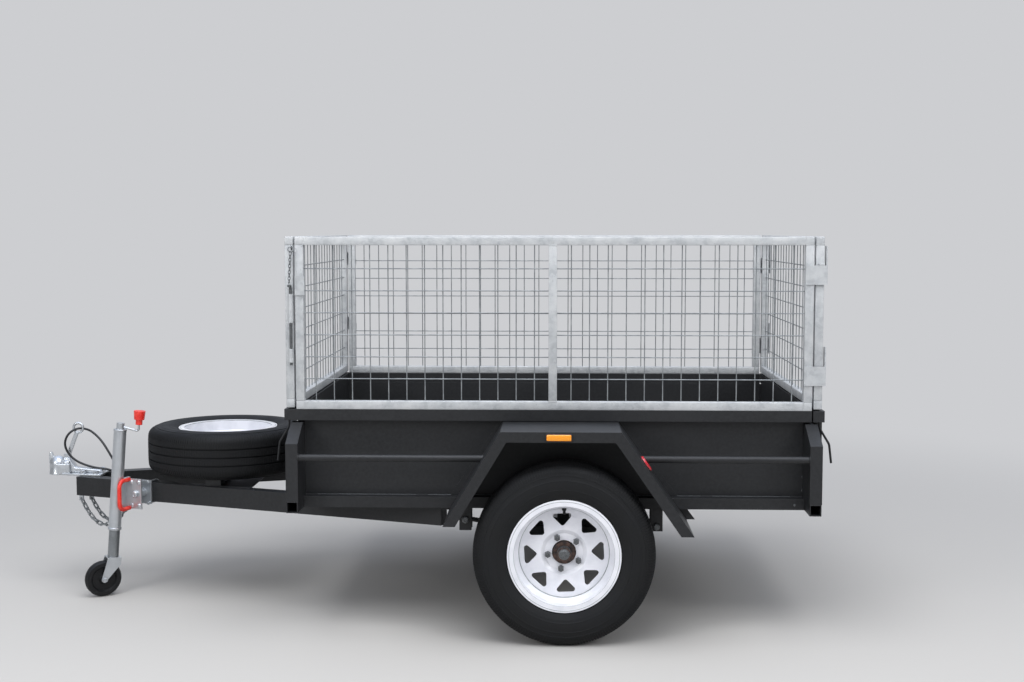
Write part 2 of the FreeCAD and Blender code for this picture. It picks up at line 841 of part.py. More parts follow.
def lamps():
    """Amber side markers, red side reflectors and tail lamps."""
    middle = "marker_position"
    height = "guard_top - guard_lip / 2"
    marker = box(
        "marker", (middle + " - marker_length / 2", middle + " + marker_length / 2"),
        ("-guard_reach - marker_depth", "-guard_reach"),
        (height + " - marker_height / 2", height + " + marker_height / 2"),
    )
    finish("side_markers", group("side_markers", marker, mirror("marker_far", marker)))
    slope = (size.guard_rear_foot - size.guard_rear_top) / (size.guard_top - size.guard_rear_foot_height)
    face = size.guard_rear_top + slope * (size.guard_top - size.reflector_height)
    disc = Part.makeCylinder(
        size.reflector_radius, size.reflector_depth,
        Vector(face, -size.reflector_across, size.reflector_height), Vector(1, 0, slope),
    )
    near = shape("reflector", disc)
    finish("side_reflectors", group("side_reflectors", near, mirror("reflector_far", near)))
    back = "cross_centre + post_width / 2"
    lamp = box(
        "tail_lamp", (back, back + " + tail_lamp_depth"),
        ("-tail_lamp_across - tail_lamp_width / 2", "-tail_lamp_across + tail_lamp_width / 2"),
        ("tail_lamp_bottom", "tail_lamp_bottom + tail_lamp_height"),
    )
    finish("tail_lamps", group("tail_lamps", lamp, mirror("tail_lamp_far", lamp)))


def axle_and_springs():
    """The square axle on its leaf springs, with their hangers and clamps."""
    stub_start = "track_half - hub_reach - hub_gap"
    x = "axle_position"
    half = "axle_size / 2"
    beam = box("axle_beam", (f"{x} - {half}", f"{x} + {half}"), ("-(" + stub_start + ")", stub_start),
               (f"tyre_radius - {half}", f"tyre_radius + {half}"))
    reach = "track_half + disc_back"
    spindle = rod("axle_spindle", "spindle_radius", f"2 * ({reach})", x, f"-({reach})", "tyre_radius", "y")
    finish("axle", fuse("axle", beam, spindle))

    across = size.spring_across - size.spring_width / 2
    stack = size.leaf * size.leaf_count
    centre = Vector(size.axle_position, -across, size.axle_top + size.spring_radius + stack)
    leaves = []
    for index in range(int(size.leaf_count)):
        share = 1 - index / (size.leaf_count + 1)
        turn = math.degrees(math.asin(size.spring_half * share / size.spring_radius))
        radius = size.spring_radius + index * size.leaf
        ring = Part.makeCylinder(radius + size.leaf, size.spring_width, centre, Vector(0, -1, 0), 2 * turn)
        hole = Part.makeCylinder(radius, size.spring_width, centre, Vector(0, -1, 0), 2 * turn)
        leaf = ring.cut(hole).Solids[0]
        middle = leaf.CenterOfMass
        heading = math.degrees(math.atan2(middle.x - centre.x, centre.z - middle.z))
        leaves.append(leaf.rotated(centre, Vector(0, 1, 0), heading))
    turn = math.asin(size.spring_half / size.spring_radius)
    end_radius = size.spring_radius + size.leaf / 2
    eye_height = centre.z - end_radius * math.cos(turn)
    eye_at = Vector(centre.x - end_radius * math.sin(turn), -across, eye_height)
    eye = Part.makeCylinder(size.eye_radius, size.spring_width, eye_at, Vector(0, -1, 0))
    bore = Part.makeCylinder(
        size.hanger_bolt + size.bolt_clearance, size.spring_width, eye_at, Vector(0, -1, 0)
    )
    spring = leaves[0].multiFuse(leaves[1:] + [eye]).cut(bore)
    near = shape("leaf_spring", spring)
    finish("leaf_springs", group("leaf_springs", near, mirror("leaf_spring_far", near)))

    hangers = []
    rear_x = 2 * size.axle_position - eye_at.x - size.hanger_length / 2
    gap = size.hanger_gap
    for x_middle, bolt_height in ((eye_at.x, eye_height), (rear_x, eye_height - size.eye_radius - size.leaf)):
        parts = []
        for low in (across - gap - size.hanger_plate, across + size.spring_width + gap):
            corner = Vector(x_middle - size.hanger_length / 2, -low - size.hanger_plate, size.hanger_bottom)
            tall = size.chassis_bottom - size.hanger_bottom
            parts.append(Part.makeBox(size.hanger_length, size.hanger_plate, tall, corner))
        long = size.spring_width + 2 * (gap + size.hanger_plate)
        start = Vector(x_middle, -across + gap + size.hanger_plate, bolt_height)
        parts.append(Part.makeCylinder(size.hanger_bolt, long, start, Vector(0, -1, 0)))
        hangers.append(parts[0].multiFuse(parts[1:]))
    near = shape("spring_hanger", Part.makeCompound(hangers))
    finish("spring_hangers", group("spring_hangers", near, mirror("spring_hanger_far", near)))

    clamps = []
    half = size.axle_size / 2
    gap = size.soft_gap
    long = size.axle_size + 4 * size.clamp_rod + 2 * gap
    wide = size.spring_width + 4 * size.clamp_rod + 2 * gap
    low = size.tyre_radius - half - size.clamp_plate
    high = size.axle_top + stack
    corner = Vector(size.axle_position - long / 2, -size.spring_across - wide / 2, low)
    lower = Part.makeBox(long, wide, size.clamp_plate, corner)
    upper = lower.translated(Vector(0, 0, high - low + gap))
    bars = []
    for x_sign in (-1, 1):
        for y_sign in (-1, 1):
            at = Vector(
                size.axle_position + x_sign * (half + gap + size.clamp_rod),
                -size.spring_across + y_sign * (size.spring_width / 2 + gap + size.clamp_rod),
                low,
            )
            bars.append(Part.makeCylinder(size.clamp_rod, high - low + gap + size.clamp_plate, at))
    clamps.append(lower.multiFuse([upper] + bars))
    near = shape("axle_clamp", clamps[0])
    finish("axle_clamps", group("axle_clamps", near, mirror("axle_clamp_far", near)))


def coupling():
    """The ball coupling on its plate, and the release lever with a finger ring."""
    outer = size.ball_radius + size.ball_clearance + size.socket_wall
    socket_x = -size.coupling_nose + outer
    base = size.socket_base
    shoulder = base + size.socket_depth
    hole = size.ball_radius + size.ball_clearance
    shell = Part.makeCylinder(outer, size.socket_depth, Vector(socket_x, 0, base))
    shell = shell.fuse(Part.makeSphere(outer, Vector(socket_x, 0, shoulder)).common(
        Part.makeBox(2 * outer, 2 * outer, outer, Vector(socket_x - outer, -outer, shoulder))
    ))
    plate_top = size.drawbar_top + size.coupling_plate
    tail = -size.coupling_plate_end
    outline = [
        Vector(socket_x, -outer, size.drawbar_top),
        Vector(tail, -size.coupling_plate_half, size.drawbar_top),
        Vector(tail, size.coupling_plate_half, size.drawbar_top),
        Vector(socket_x, outer, size.drawbar_top),
    ]
    plate = Part.Face(Part.makePolygon(outline + outline[:1])).extrude(Vector(0, 0, size.coupling_plate))
    front = Part.makeCylinder(outer, plate_top - size.drawbar_top, Vector(socket_x, 0, size.drawbar_top))
    neck = Part.makeBox(
        size.coupling_neck_length, 2 * size.coupling_neck_half, size.coupling_neck_height,
        Vector(socket_x, -size.coupling_neck_half, plate_top),
    )
    bore = Part.makeCylinder(hole, shoulder - size.drawbar_top, Vector(socket_x, 0, size.drawbar_top))
    bore = bore.fuse(Part.makeSphere(hole, Vector(socket_x, 0, shoulder)))
    latch = Part.makeBox(
        size.nose_latch_length, 2 * size.nose_latch_half, size.nose_latch_top - shoulder,
        Vector(-size.coupling_nose, -size.nose_latch_half, shoulder),
    )
    body = shell.multiFuse([plate, front, neck, latch]).cut(bore).removeSplitter()
    finish("coupling_body", shape("coupling_body", body))

    foot = Vector(-size.lever_root, 0, plate_top + size.coupling_neck_height)
    lean = math.radians(size.lever_lean)
    half = size.lever_width / 2
    ring_at = foot + Vector(math.sin(lean), 0, math.cos(lean)) * size.lever_rise
    bar = Part.makeBox(size.lever_width, size.lever_width, size.lever_rise - size.lever_ring_radius)
    bar.Placement = Placement(foot - Vector(half, half, 0), Rotation(Vector(0, 1, 0), size.lever_lean))
    ring = Part.makeTorus(size.lever_ring_radius, size.lever_ring_wire, ring_at, Vector(0, 1, 0))
    block = Part.makeBox(
        2 * size.lever_width, size.lever_width, size.lever_width, foot - Vector(half * 2, half, 0)
    )
    sunk = Part.makeBox(
        size.lever_rise, size.lever_rise, size.lever_width,
        foot - Vector(size.lever_rise / 2, size.lever_rise / 2, size.lever_width),
    )
    lever = bar.multiFuse([ring, block]).cut(sunk)
    finish("coupling_lever", shape("coupling_lever", lever))


def chain_link(pitch):
    """A flat eight-sided link lying along X, its hole one running gap longer than the pitch."""
    plates = []
    long = (pitch + size.chain_gap) / 2
    wide = size.chain_inner / 2
    for half_long, half_wide, trim in (
        (long + size.chain_wire, wide + size.chain_wire, size.chain_outer_cut),
        (long, wide, size.chain_inner_cut),
    ):
        corners = []
        for x, y in ((1, 1), (-1, 1), (-1, -1), (1, -1)):
            ends = [
                Vector(x * half_long, y * (half_wide - trim), -size.chain_wire / 2),
                Vector(x * (half_long - trim), y * half_wide, -size.chain_wire / 2),
            ]
            corners += ends if x == y else ends[::-1]
        outline = Part.makePolygon(corners + corners[:1])
        plates.append(Part.Face(outline).extrude(Vector(0, 0, size.chain_wire)))
    return plates[0].cut(plates[1])


def hanging_points(start, end, sag, count):
    """Points a pitch apart along the curve that a chain hangs in."""
    sagging = [
        start + (end - start) * share - Vector(0, 0, 4 * sag * share * (1 - share))
        for share in (step / count for step in range(count + 1))
    ]
    curve = Part.BSplineCurve()
    curve.interpolate(sagging)
    inset = (size.chain_gap + size.chain_wire) / 2
    first = curve.parameterAtDistance(inset, curve.FirstParameter)
    last = curve.parameterAtDistance(curve.length() - 2 * inset, first)
    return curve.discretize(Number=count + 1, First=first, Last=last)


def safety_chains():
    """Two safety chains that hang under the left drawbar rail between welded lugs."""
    angle = math.radians(size.drawbar_angle)
    along = Vector(math.cos(angle), -math.sin(angle), 0)
    inward = Vector(math.sin(angle), math.cos(angle), 0)
    nose = Vector(-size.drawbar_nose, -size.drawbar_nose_half, size.drawbar_bottom - size.lug_drop)
    first = nose + inward * (size.drawbar_width - size.chain_spacing) / 2 + along * size.chain_front
    lugs = []
    links = []
    for row in range(2):
        start = first + (inward + along) * size.chain_spacing * row
        end = start + along * (size.chain_run - size.chain_spacing * row)
        for at in (start, end):
            plate = Part.makeBox(
                2 * size.lug_half, size.lug_wall, size.lug_drop + size.lug_half,
                Vector(-size.lug_half, -size.lug_wall / 2, -size.lug_half),
            )
            hole = Part.makeCylinder(
                size.lug_hole, size.lug_wall, Vector(0, -size.lug_wall / 2, 0), Vector(0, 1, 0)
            )
            lug = plate.cut(hole)
            lug.Placement = Placement(at, Rotation(Vector(0, 0, 1), -size.drawbar_angle))
            lugs.append(lug)
        count = int(size.chain_count) - 2 * row
        sag = size.chain_sag - size.chain_spacing / 2 * row
        points = hanging_points(start, end, sag, count)
        for index, (near, far) in enumerate(zip(points, points[1:])):
            link = chain_link((far - near).Length)
            heading = (far - near).normalize()
            across = inward if index % 2 == 0 else heading.cross(inward)
            link.Placement = Placement((near + far) / 2, Rotation(heading, across, Vector(), "XYZ"))
            links.append(link)
    finish("chain_lugs", shape("chain_lugs", Part.makeCompound(lugs)))
    finish("safety_chains", shape("safety_chains", Part.makeCompound(links)))


def wiring():
    """The wiring cable from its gland on the left rail, through the lever's ring, to its plug."""
    angle = math.radians(size.drawbar_angle)
    inward = Vector(math.sin(angle), math.cos(angle), 0)
    along = Vector(math.cos(angle), -math.sin(angle), 0)
    nose = Vector(-size.drawbar_nose, -size.drawbar_nose_half, 0)
    base = nose + inward * size.drawbar_width + along * size.gland_position + Vector(0, 0, size.gland_height)
    gland = Part.makeCylinder(size.gland_radius, size.gland_length, base, inward)
    finish("cable_gland", shape("cable_gland", gland))
    route = [Vector(*point) for point in CABLE_ROUTE]
    route[0] = base + inward * size.gland_length
    route[1] = route[0] + inward * size.gland_lead
    bends = widest_bends(route)
    cable = bent_rod(route, bends, size.cable_radius)
    length = rod_path(route, bends).Length
    section = math.pi * size.cable_radius ** 2
    print("cable length", round(length), "bends", [round(bend) for bend in bends])
    print("cable volume over section times length", round(cable.Volume / (section * length), 4))
    finish("wiring_cable", shape("wiring_cable", cable))
    down = (route[-1] - route[-2]).normalize()
    neck = Part.makeCone(size.plug_neck, size.plug_radius, size.plug_neck_length, route[-1], down)
    barrel = Part.makeCylinder(
        size.plug_radius, size.plug_length, route[-1] + down * size.plug_neck_length, down
    )
    finish("trailer_plug", shape("trailer_plug", neck.fuse(barrel)))


def latch_rods():
    """Bent latch handles under the top rail's corners: two on the tailgate and two in front."""
    stops = [
        (-size.latch_inset, 0),
        (-size.latch_inset, size.latch_run),
        (size.latch_knee_out, size.latch_knee),
        (size.latch_foot_out, size.latch_foot),
    ]
    for label, face in (("tailgate_latches", size.tailgate_back), ("front_latches", -size.tray_end)):
        way = math.copysign(1, face)
        points = [
            Vector(face + way * out, -size.latch_across, size.top_rail_bottom - drop) for out, drop in stops
        ]
        near = shape(label + "_near", bent_rod(points, [size.latch_bend] * 2, size.latch_rod))
        finish(label, group(label, near, mirror(label + "_far", near)))


def tailgate():
    """The drop tailgate with its frame and sheet, on two pin hinges under its lower edge."""
    x = ("tailgate_front", "tailgate_back")
    frame = "tailgate_frame"
    lower = box("tailgate_lower", x, ("-tailgate_half", "tailgate_half"),
                ("tailgate_bottom", "tailgate_bottom + " + frame))
    upper = box("tailgate_upper", x, ("-tray_half", "tray_half"), ("top_rail_bottom", "top_rail_top"))
    posts = [
        box(f"tailgate_post_{index}", x, span, ("tailgate_bottom", "top_rail_bottom"))
        for index, span in enumerate((
            ("-tailgate_half", "-tailgate_half + " + frame),
            (f"tailgate_half - {frame}", "tailgate_half"),
        ))
    ]
    panel = box("tailgate_sheet", ("tailgate_front", "tailgate_front + sheet"),
                ("-tailgate_half", "tailgate_half"), ("tailgate_bottom", "top_rail_bottom"))
    knuckles = []
    bores = []
    ears = []
    ear_x = ("cross_centre + cross_width / 2", "hinge_position + hinge_barrel")
    for index, side in enumerate(("-hinge_across", "hinge_across")):
        low = f"{side} - hinge_length / 2"
        high = f"{side} + hinge_length / 2"
        knuckles.append(rod(f"hinge_barrel_{index}", "hinge_barrel", "hinge_length",
                            "hinge_position", low, "hinge_height", "y"))
        knuckles.append(box(f"hinge_strap_{index}", ("hinge_position - hinge_barrel / 2", "tailgate_back"),
                            (low, high), ("hinge_height", "tailgate_bottom + " + frame)))
        bores.append(rod(f"hinge_bore_{index}", "hinge_pin + hinge_clearance", "hinge_length",
                         "hinge_position", low, "hinge_height", "y"))
        pin_low = f"{low} - hinge_ear_gap - hinge_ear"
        ears.append(fuse(
            f"tailgate_hinge_{index}",
            rod(f"hinge_pin_{index}", "hinge_pin", "hinge_length + 2 * (hinge_ear_gap + hinge_ear)",
                "hinge_position", pin_low, "hinge_height", "y"),
            box(f"hinge_ear_low_{index}", ear_x,
                (pin_low, pin_low + " + hinge_ear"),
                ("hinge_height - hinge_barrel", "hinge_height + hinge_pin")),
            box(f"hinge_ear_high_{index}", ear_x,
                (high + " + hinge_ear_gap", high + " + hinge_ear_gap + hinge_ear"),
                ("hinge_height - hinge_barrel", "hinge_height + hinge_pin")),
        ))
    whole = fuse("tailgate_whole", lower, upper, panel, *posts, *knuckles)
    finish("tailgate", cut("tailgate", whole, *bores))
    finish("tailgate_hinges", group("tailgate_hinges", *ears))


def mesh_panel(name, role, offset, half, bottom, posts):
    """A welded panel of square tube with a grid of wires, drawn on one plane and pushed out from it."""
    body = doc.addObject("PartDesign::Body", name)
    top = "cage_top"
    low = f"{bottom} + cage_tube"
    high = f"{top} - cage_tube"
    outlines = [[(f"-{half}", bottom), (half, bottom), (half, top), (f"-{half}", top)]]
    for left, right in posts:
        outlines.append([(left, low), (right, low), (right, high), (left, high)])
    pad(body, sketch(body, role, outlines, offset), "cage_tube")
    reach = f"floor(({half} - cage_tube) / wire_pitch) * wire_pitch"
    middle = f"{offset} + cage_tube / 2"
    upright = sketch(body, role, [[
        (f"-({reach}) - wire / 2", low), (f"-({reach}) + wire / 2", low),
        (f"-({reach}) + wire / 2", high), (f"-({reach}) - wire / 2", high),
    ]], f"{middle} - wire - wire_gap / 2")
    feature = pad(body, upright, "wire")
    count = f"2 * floor(({half} - cage_tube) / wire_pitch) + 1"
    pattern(body, feature, upright, "H_Axis", f"2 * ({reach})", count)
    level = f"{low} + wire_pitch_up"
    for index, (left, right) in enumerate(posts):
        across = sketch(body, role, [[
            (left, f"{level} - wire / 2"), (right, f"{level} - wire / 2"),
            (right, f"{level} + wire / 2"), (left, f"{level} + wire / 2"),
        ]], f"{middle} + wire_gap / 2")
        feature = pad(body, across, "wire")
        pattern(body, feature, across, "V_Axis", "wire_pitch_up * (wires_up - 1)", "wires_up")
    return body


def cage():
    """The mesh cage: two sides on the top rail, a hinged front door and a rear gate that lifts out."""
    inner = "cage_half_length - cage_tube"
    half_tube = "cage_tube / 2"
    halves = [(f"-({inner})", f"-{half_tube}"), (half_tube, inner)]
    side = mesh_panel(
        "cage_side", "XZ_Plane", "tray_half - cage_tube", "cage_half_length", "top_rail_top", halves
    )
    left = finish("cage_side_left", side)
    finish("cage_side_right", mirror("cage_side_far", left), moved=False)
    opening = [("-(gate_half - cage_tube)", "gate_half - cage_tube")]
    rear = mesh_panel("cage_gate_panel", "YZ_Plane", "gate_inner", "gate_half", "gate_bottom", opening)
    lug = box(
        "gate_lug", ("gate_outer - gate_lug_length", "gate_outer"), ("-tray_half - strap_wall", "-gate_half"),
        ("strap_top", "strap_top + gate_lug_wall"),
    )
    finish("cage_gate_rear", fuse("cage_gate_whole", rear, lug, mirror("gate_lug_far", lug)))
    front = mesh_panel("cage_door_panel", "YZ_Plane", "-gate_outer", "gate_half", "gate_bottom", opening)

    straps = []
    for index in range(2):
        top = f"strap_top - {index} * strap_spacing"
        low = f"{top} - strap_height"
        back = "gate_outer + gate_side_gap"
        straps.append(fuse(
            f"gate_bracket_{index}",
            box(f"strap_{index}", ("cage_half_length - cage_tube", back + " + strap_wall"),
                ("-tray_half - strap_wall", "-tray_half"), (low, top)),
            box(f"strap_hook_{index}", (back, back + " + strap_wall"),
                ("-tray_half", "-tray_half + strap_lip"), (low, top + " + strap_hook_rise")),
        ))
    plate = box("latch_plate", ("-cage_half_length", "-cage_half_length + latch_plate_length"),
                ("-tray_half - strap_wall", "-tray_half"),
                ("latch_plate_top - latch_plate_height", "latch_plate_top"))
    straps += [mirror(f"gate_bracket_far_{index}", strap) for index, strap in enumerate(straps)]
    finish("gate_brackets", group("gate_brackets", *straps, plate))

    hinge_x = "-(cage_half_length + gate_gap / 2)"
    hinge_y = "tray_half + door_hinge_out"
    leaves = []
    barrels = []
    bores = []
    for index in range(2):
        top = f"door_hinge_top - {index} * door_hinge_spacing"
        middle = f"{top} - door_hinge_length"
        low = f"{middle} - door_hinge_length"
        leaves.append(fuse(
            f"door_hinge_{index}",
            rod(f"door_hinge_low_{index}", "door_hinge_barrel", "door_hinge_length - soft_gap",
                hinge_x, hinge_y, low),
            rod(f"door_hinge_pin_{index}", "door_hinge_pin", "2 * door_hinge_length", hinge_x, hinge_y, low),
            box(f"door_hinge_leaf_{index}", (hinge_x, "-cage_half_length + cage_tube"),
                ("tray_half", hinge_y), (low, middle + " - soft_gap")),
        ))
        barrels.append(rod(f"door_barrel_{index}", "door_hinge_barrel", "door_hinge_length",
                           hinge_x, hinge_y, middle))
        barrels.append(box(f"door_leaf_{index}", ("-gate_outer", hinge_x + " - door_hinge_pin / 2"),
                           ("gate_half", hinge_y), (middle, top)))
        bores.append(rod(f"door_bore_{index}", "door_hinge_pin + hinge_clearance", "door_hinge_length",
                         hinge_x, hinge_y, middle))
    finish("door_hinges", group("door_hinges", *leaves))
    bolt_x = "-(gate_inner + bolt_sleeve)"
    bolt_y = "-(gate_half + bolt_sleeve)"
    finish("gate_latch", fuse(
        "gate_latch",
        rod("bolt_bar", "bolt_rod", "bolt_top - bolt_bottom", bolt_x, bolt_y, "bolt_bottom"),
        rod("bolt_handle_bar", "bolt_rod", "bolt_handle",
            bolt_x, f"{bolt_y} - bolt_handle", "bolt_top - bolt_rod", "y"),
        rod("bolt_sleeve_tube", "bolt_sleeve", "sleeve_length", bolt_x, bolt_y, "sleeve_top - sleeve_length"),
        rod("bolt_guide", "bolt_sleeve", "guide_length", bolt_x, bolt_y, "guide_top - guide_length"),
    ))
    finish("cage_gate_front", cut("cage_door", fuse("cage_door_whole", front, *barrels), *bores))


def jockey():
    """The jockey wheel, built upright about its tube's axis and then leaned, and its bracket."""
    origin = Vector(
        size.row_shift - size.jockey_forward, -size.jockey_across, size.jockey_pivot_height
    )
    leaned = Placement(origin, Rotation(Vector(0, 1, 0), size.jockey_lean))
    lean = math.radians(size.jockey_lean)
    turn = math.radians(size.jockey_turn)
    tilt = math.sin(turn) * math.sin(lean)
    wheel_radius = size.jockey_wheel_radius
    half = size.jockey_wheel_half
    centre_height = wheel_radius * math.sqrt(1 - tilt ** 2) + size.jockey_tread_half * tilt
    drop = size.jockey_trail * math.cos(turn) * math.sin(lean)
    hub_level = (centre_height - size.jockey_pivot_height - drop) / math.cos(lean)
    fork_top = hub_level + wheel_radius + size.fork_clearance + size.fork_wall
    leg_bottom = fork_top + size.soft_gap

    tube_long = size.jockey_tube_bottom + size.jockey_tube_top
    tube_foot = Vector(0, 0, -size.jockey_tube_bottom)
    tube = Part.makeCylinder(size.jockey_tube_radius, tube_long, tube_foot)
    bore = Part.makeCylinder(
        size.jockey_leg_radius + size.jockey_clearance, tube_long - size.cap_inset, tube_foot
    )
    finish("jockey_tube", shape("jockey_tube", tube.cut(bore)), leaned)

    leg = Part.makeCylinder(
        size.jockey_leg_radius, size.jockey_leg_inside - size.jockey_tube_bottom - leg_bottom,
        Vector(0, 0, leg_bottom),
    )
    pin_hole = Part.makeCylinder(
        size.kingpin_radius + size.jockey_clearance, size.kingpin_length + size.fork_gap,
        Vector(0, 0, leg_bottom),
    )
    finish("jockey_leg", shape("jockey_leg", leg.cut(pin_hole)), leaned)

    cap = Part.makeCylinder(size.cap_radius_top, size.cap_height, Vector(0, 0, size.jockey_tube_top))
    arm_level = size.jockey_tube_top + size.cap_height / 2
    knob_level = arm_level + size.crank_rise
    arm = bent_rod(
        [
            Vector(0, 0, arm_level),
            Vector(size.crank_reach, 0, arm_level - size.crank_dip),
            Vector(size.crank_reach, 0, knob_level),
        ],
        [size.crank_bend], size.crank_rod,
    )
    finish("jockey_crank", shape("jockey_crank", cap.fuse(arm)), leaned)
    grip = Vector(size.crank_reach, 0, knob_level)
    knob = Part.makeCylinder(size.knob_neck, size.knob_neck_height, grip)
    knob = knob.fuse(Part.makeCone(
        size.knob_radius - size.bracket_wall / 2, size.knob_radius, size.knob_height,
        grip + Vector(0, 0, size.knob_neck_height),
    ))
    finish("jockey_knob", shape("jockey_knob", knob), leaned)

    forked = leaned.multiply(Placement(Vector(), Rotation(Vector(0, 0, 1), size.jockey_turn)))
    side_gap = half + size.fork_gap
    top_plate = Part.makeBox(
        2 * size.fork_half_length, 2 * (side_gap + size.fork_wall), size.fork_wall,
        Vector(-size.fork_half_length, -side_gap - size.fork_wall, fork_top - size.fork_wall),
    )
    round_end = 2 * size.jockey_axle
    axle_at = Vector(-size.jockey_trail, 0, hub_level)
    cheek_points = [
        Vector(-size.fork_half_length, 0, fork_top),
        Vector(size.fork_half_length, 0, fork_top),
        Vector(size.fork_half_length, 0, fork_top - size.fork_half_length),
        axle_at + Vector(round_end, 0, 0),
        axle_at - Vector(round_end, 0, 0),
    ]
    cheek = Part.Face(Part.makePolygon(cheek_points + cheek_points[:1])).extrude(Vector(0, size.fork_wall, 0))
    cheek = cheek.fuse(Part.makeCylinder(round_end, size.fork_wall, axle_at, Vector(0, 1, 0)))
    cheeks = [cheek.translated(Vector(0, y, 0)) for y in (side_gap, -side_gap - size.fork_wall)]
    long = 2 * (side_gap + size.fork_wall)
    bolt = Part.makeCylinder(
        size.jockey_axle, long, Vector(-size.jockey_trail, -long / 2, hub_level), Vector(0, 1, 0)
    )
    plate_under = Vector(0, 0, fork_top - size.fork_wall)
    kingpin = Part.makeCylinder(size.kingpin_radius, size.kingpin_length, plate_under)
    fork = top_plate.multiFuse(cheeks + [bolt, kingpin])
    finish("jockey_fork", shape("jockey_fork", fork), forked)

    wheel = revolve("jockey_wheel", both([
        ("jockey_wheel_half", "jockey_axle + jockey_clearance"),
        ("jockey_wheel_half", "jockey_hub"),
        ("jockey_web_half", "jockey_web_start"),
        ("jockey_web_half", "jockey_web_end"),
        ("jockey_wheel_half", "jockey_bowl_end"),
        ("jockey_wheel_half", "jockey_shoulder"),
        ("jockey_tread_half", "jockey_wheel_radius"),
    ]))
    at = Placement(Vector(-size.jockey_trail, 0, hub_level), Rotation())
    finish("jockey_wheel", wheel, forked.multiply(at))

    angle = math.radians(size.drawbar_angle)
    along = Vector(math.cos(angle), -math.sin(angle), 0)
    outward = Vector(-math.sin(angle), -math.cos(angle), 0)
    nose = Vector(size.row_shift - size.drawbar_nose, -size.drawbar_nose_half, size.jockey_pivot_height)
    offset = (origin - nose).dot(outward)
    pivot = origin + along * size.jockey_pivot_back
    face = pivot - outward * offset
    # the bracket's own frame has x forward along the rail and y outward from it
    squared = Placement(face, Rotation(Vector(0, 0, 1), 180 - size.drawbar_angle))
    wall = size.bracket_wall
    tube_x = size.jockey_pivot_back
    plate = Part.makeBox(
        size.bracket_back + tube_x + size.bracket_lead, wall, size.bracket_height,
        Vector(-size.bracket_back, 0, -size.bracket_height / 2),
    )
    reach = offset - size.jockey_tube_radius - size.saddle_wall - wall
    boss = Part.makeCylinder(size.pivot_radius, reach - size.bracket_gap, Vector(), Vector(0, 1, 0))
    pin = Part.makeCylinder(size.pivot_pin, reach + wall, Vector(), Vector(0, 1, 0))
    finish("jockey_bracket", shape("jockey_bracket", plate.multiFuse([boss, pin])), squared)

    tall = size.swivel_height
    swivel = Part.makeBox(
        size.swivel_back + tube_x + size.swivel_lead, wall, tall, Vector(-size.swivel_back, reach, -tall / 2)
    )
    saddle = Part.makeBox(
        2 * size.saddle_half, offset - reach - wall, tall,
        Vector(tube_x - size.saddle_half, reach + wall, -tall / 2),
    )
    pin_bore = size.pivot_pin + size.hinge_clearance
    hole = Part.makeCylinder(pin_bore, wall, Vector(0, reach, 0), Vector(0, 1, 0))
    clamp = swivel.fuse(saddle).cut(hole)
    clamp.Placement = squared
    through = Part.makeCylinder(size.jockey_tube_radius, 4 * tall, Vector(0, 0, -2 * tall))
    through.Placement = leaned
    finish("jockey_clamp", shape("jockey_clamp", clamp.cut(through)), Placement())

    low = reach + wall
    high = offset + size.jockey_tube_radius + size.handle_rod + size.handle_gap
    back = tube_x - size.handle_back
    corners = [(low, 1), (high, 1), (high, -1), (low, -1)]
    turns = [size.handle_bend] * (len(corners) - 2)
    grip = bent_rod([Vector(back, y, side * size.handle_half) for y, side in corners], turns, size.handle_rod)
    finish("jockey_handle", shape("jockey_handle", grip), squared)


def write():
    """Check every object and write one file for each finished piece."""
    doc.recompute()
    for thing in doc.Objects:
        if "Invalid" in thing.State or "Error" in thing.State:
            raise SystemExit(f"{thing.Name} failed: {thing.State}")
    os.makedirs("parts", exist_ok=True)
    for piece in pieces:
        if piece.Shape.isNull() or not piece.Shape.isValid():
            raise SystemExit(f"{piece.Label} has no valid shape")
    for piece in pieces:
        piece.Shape.exportStep(f"parts/{piece.Label}.step")
        print(piece.Label, len(piece.Shape.Solids), round(piece.Shape.Volume))


chassis()
corner_posts()
mudguards()
tie_rails()
lamps()
axle_and_springs()
wheels()
coupling()
safety_chains()
wiring()
tailgate()
latch_rods()
cage()
jockey()
write()
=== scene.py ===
import cmath
import json
import math

import bmesh
import bpy
from mathutils import Matrix, Vector


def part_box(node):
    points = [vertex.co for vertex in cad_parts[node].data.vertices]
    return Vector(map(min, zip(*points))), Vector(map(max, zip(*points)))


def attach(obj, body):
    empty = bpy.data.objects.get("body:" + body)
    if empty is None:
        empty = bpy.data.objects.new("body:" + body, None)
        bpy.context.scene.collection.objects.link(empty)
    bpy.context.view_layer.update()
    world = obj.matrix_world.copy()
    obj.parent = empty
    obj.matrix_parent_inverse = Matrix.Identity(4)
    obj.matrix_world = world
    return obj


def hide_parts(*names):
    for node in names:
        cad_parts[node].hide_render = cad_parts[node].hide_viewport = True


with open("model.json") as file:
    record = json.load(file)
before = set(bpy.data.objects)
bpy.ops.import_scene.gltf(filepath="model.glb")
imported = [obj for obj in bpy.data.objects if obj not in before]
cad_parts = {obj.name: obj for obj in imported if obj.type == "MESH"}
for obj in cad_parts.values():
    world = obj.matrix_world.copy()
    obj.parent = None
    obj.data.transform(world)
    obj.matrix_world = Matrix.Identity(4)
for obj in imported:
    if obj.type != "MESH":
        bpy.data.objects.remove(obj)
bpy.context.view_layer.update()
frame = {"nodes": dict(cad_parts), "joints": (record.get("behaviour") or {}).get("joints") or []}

bpy.ops.object.select_all(action="DESELECT")

# Camera, found from the photograph
CAMERA_PLACE = Vector((0.5534, -5.5796, 1.4299))
CAMERA_DIP = 0.0794
CAMERA_TURN = 0.0313
LENS = 49.10
SENSOR = 36

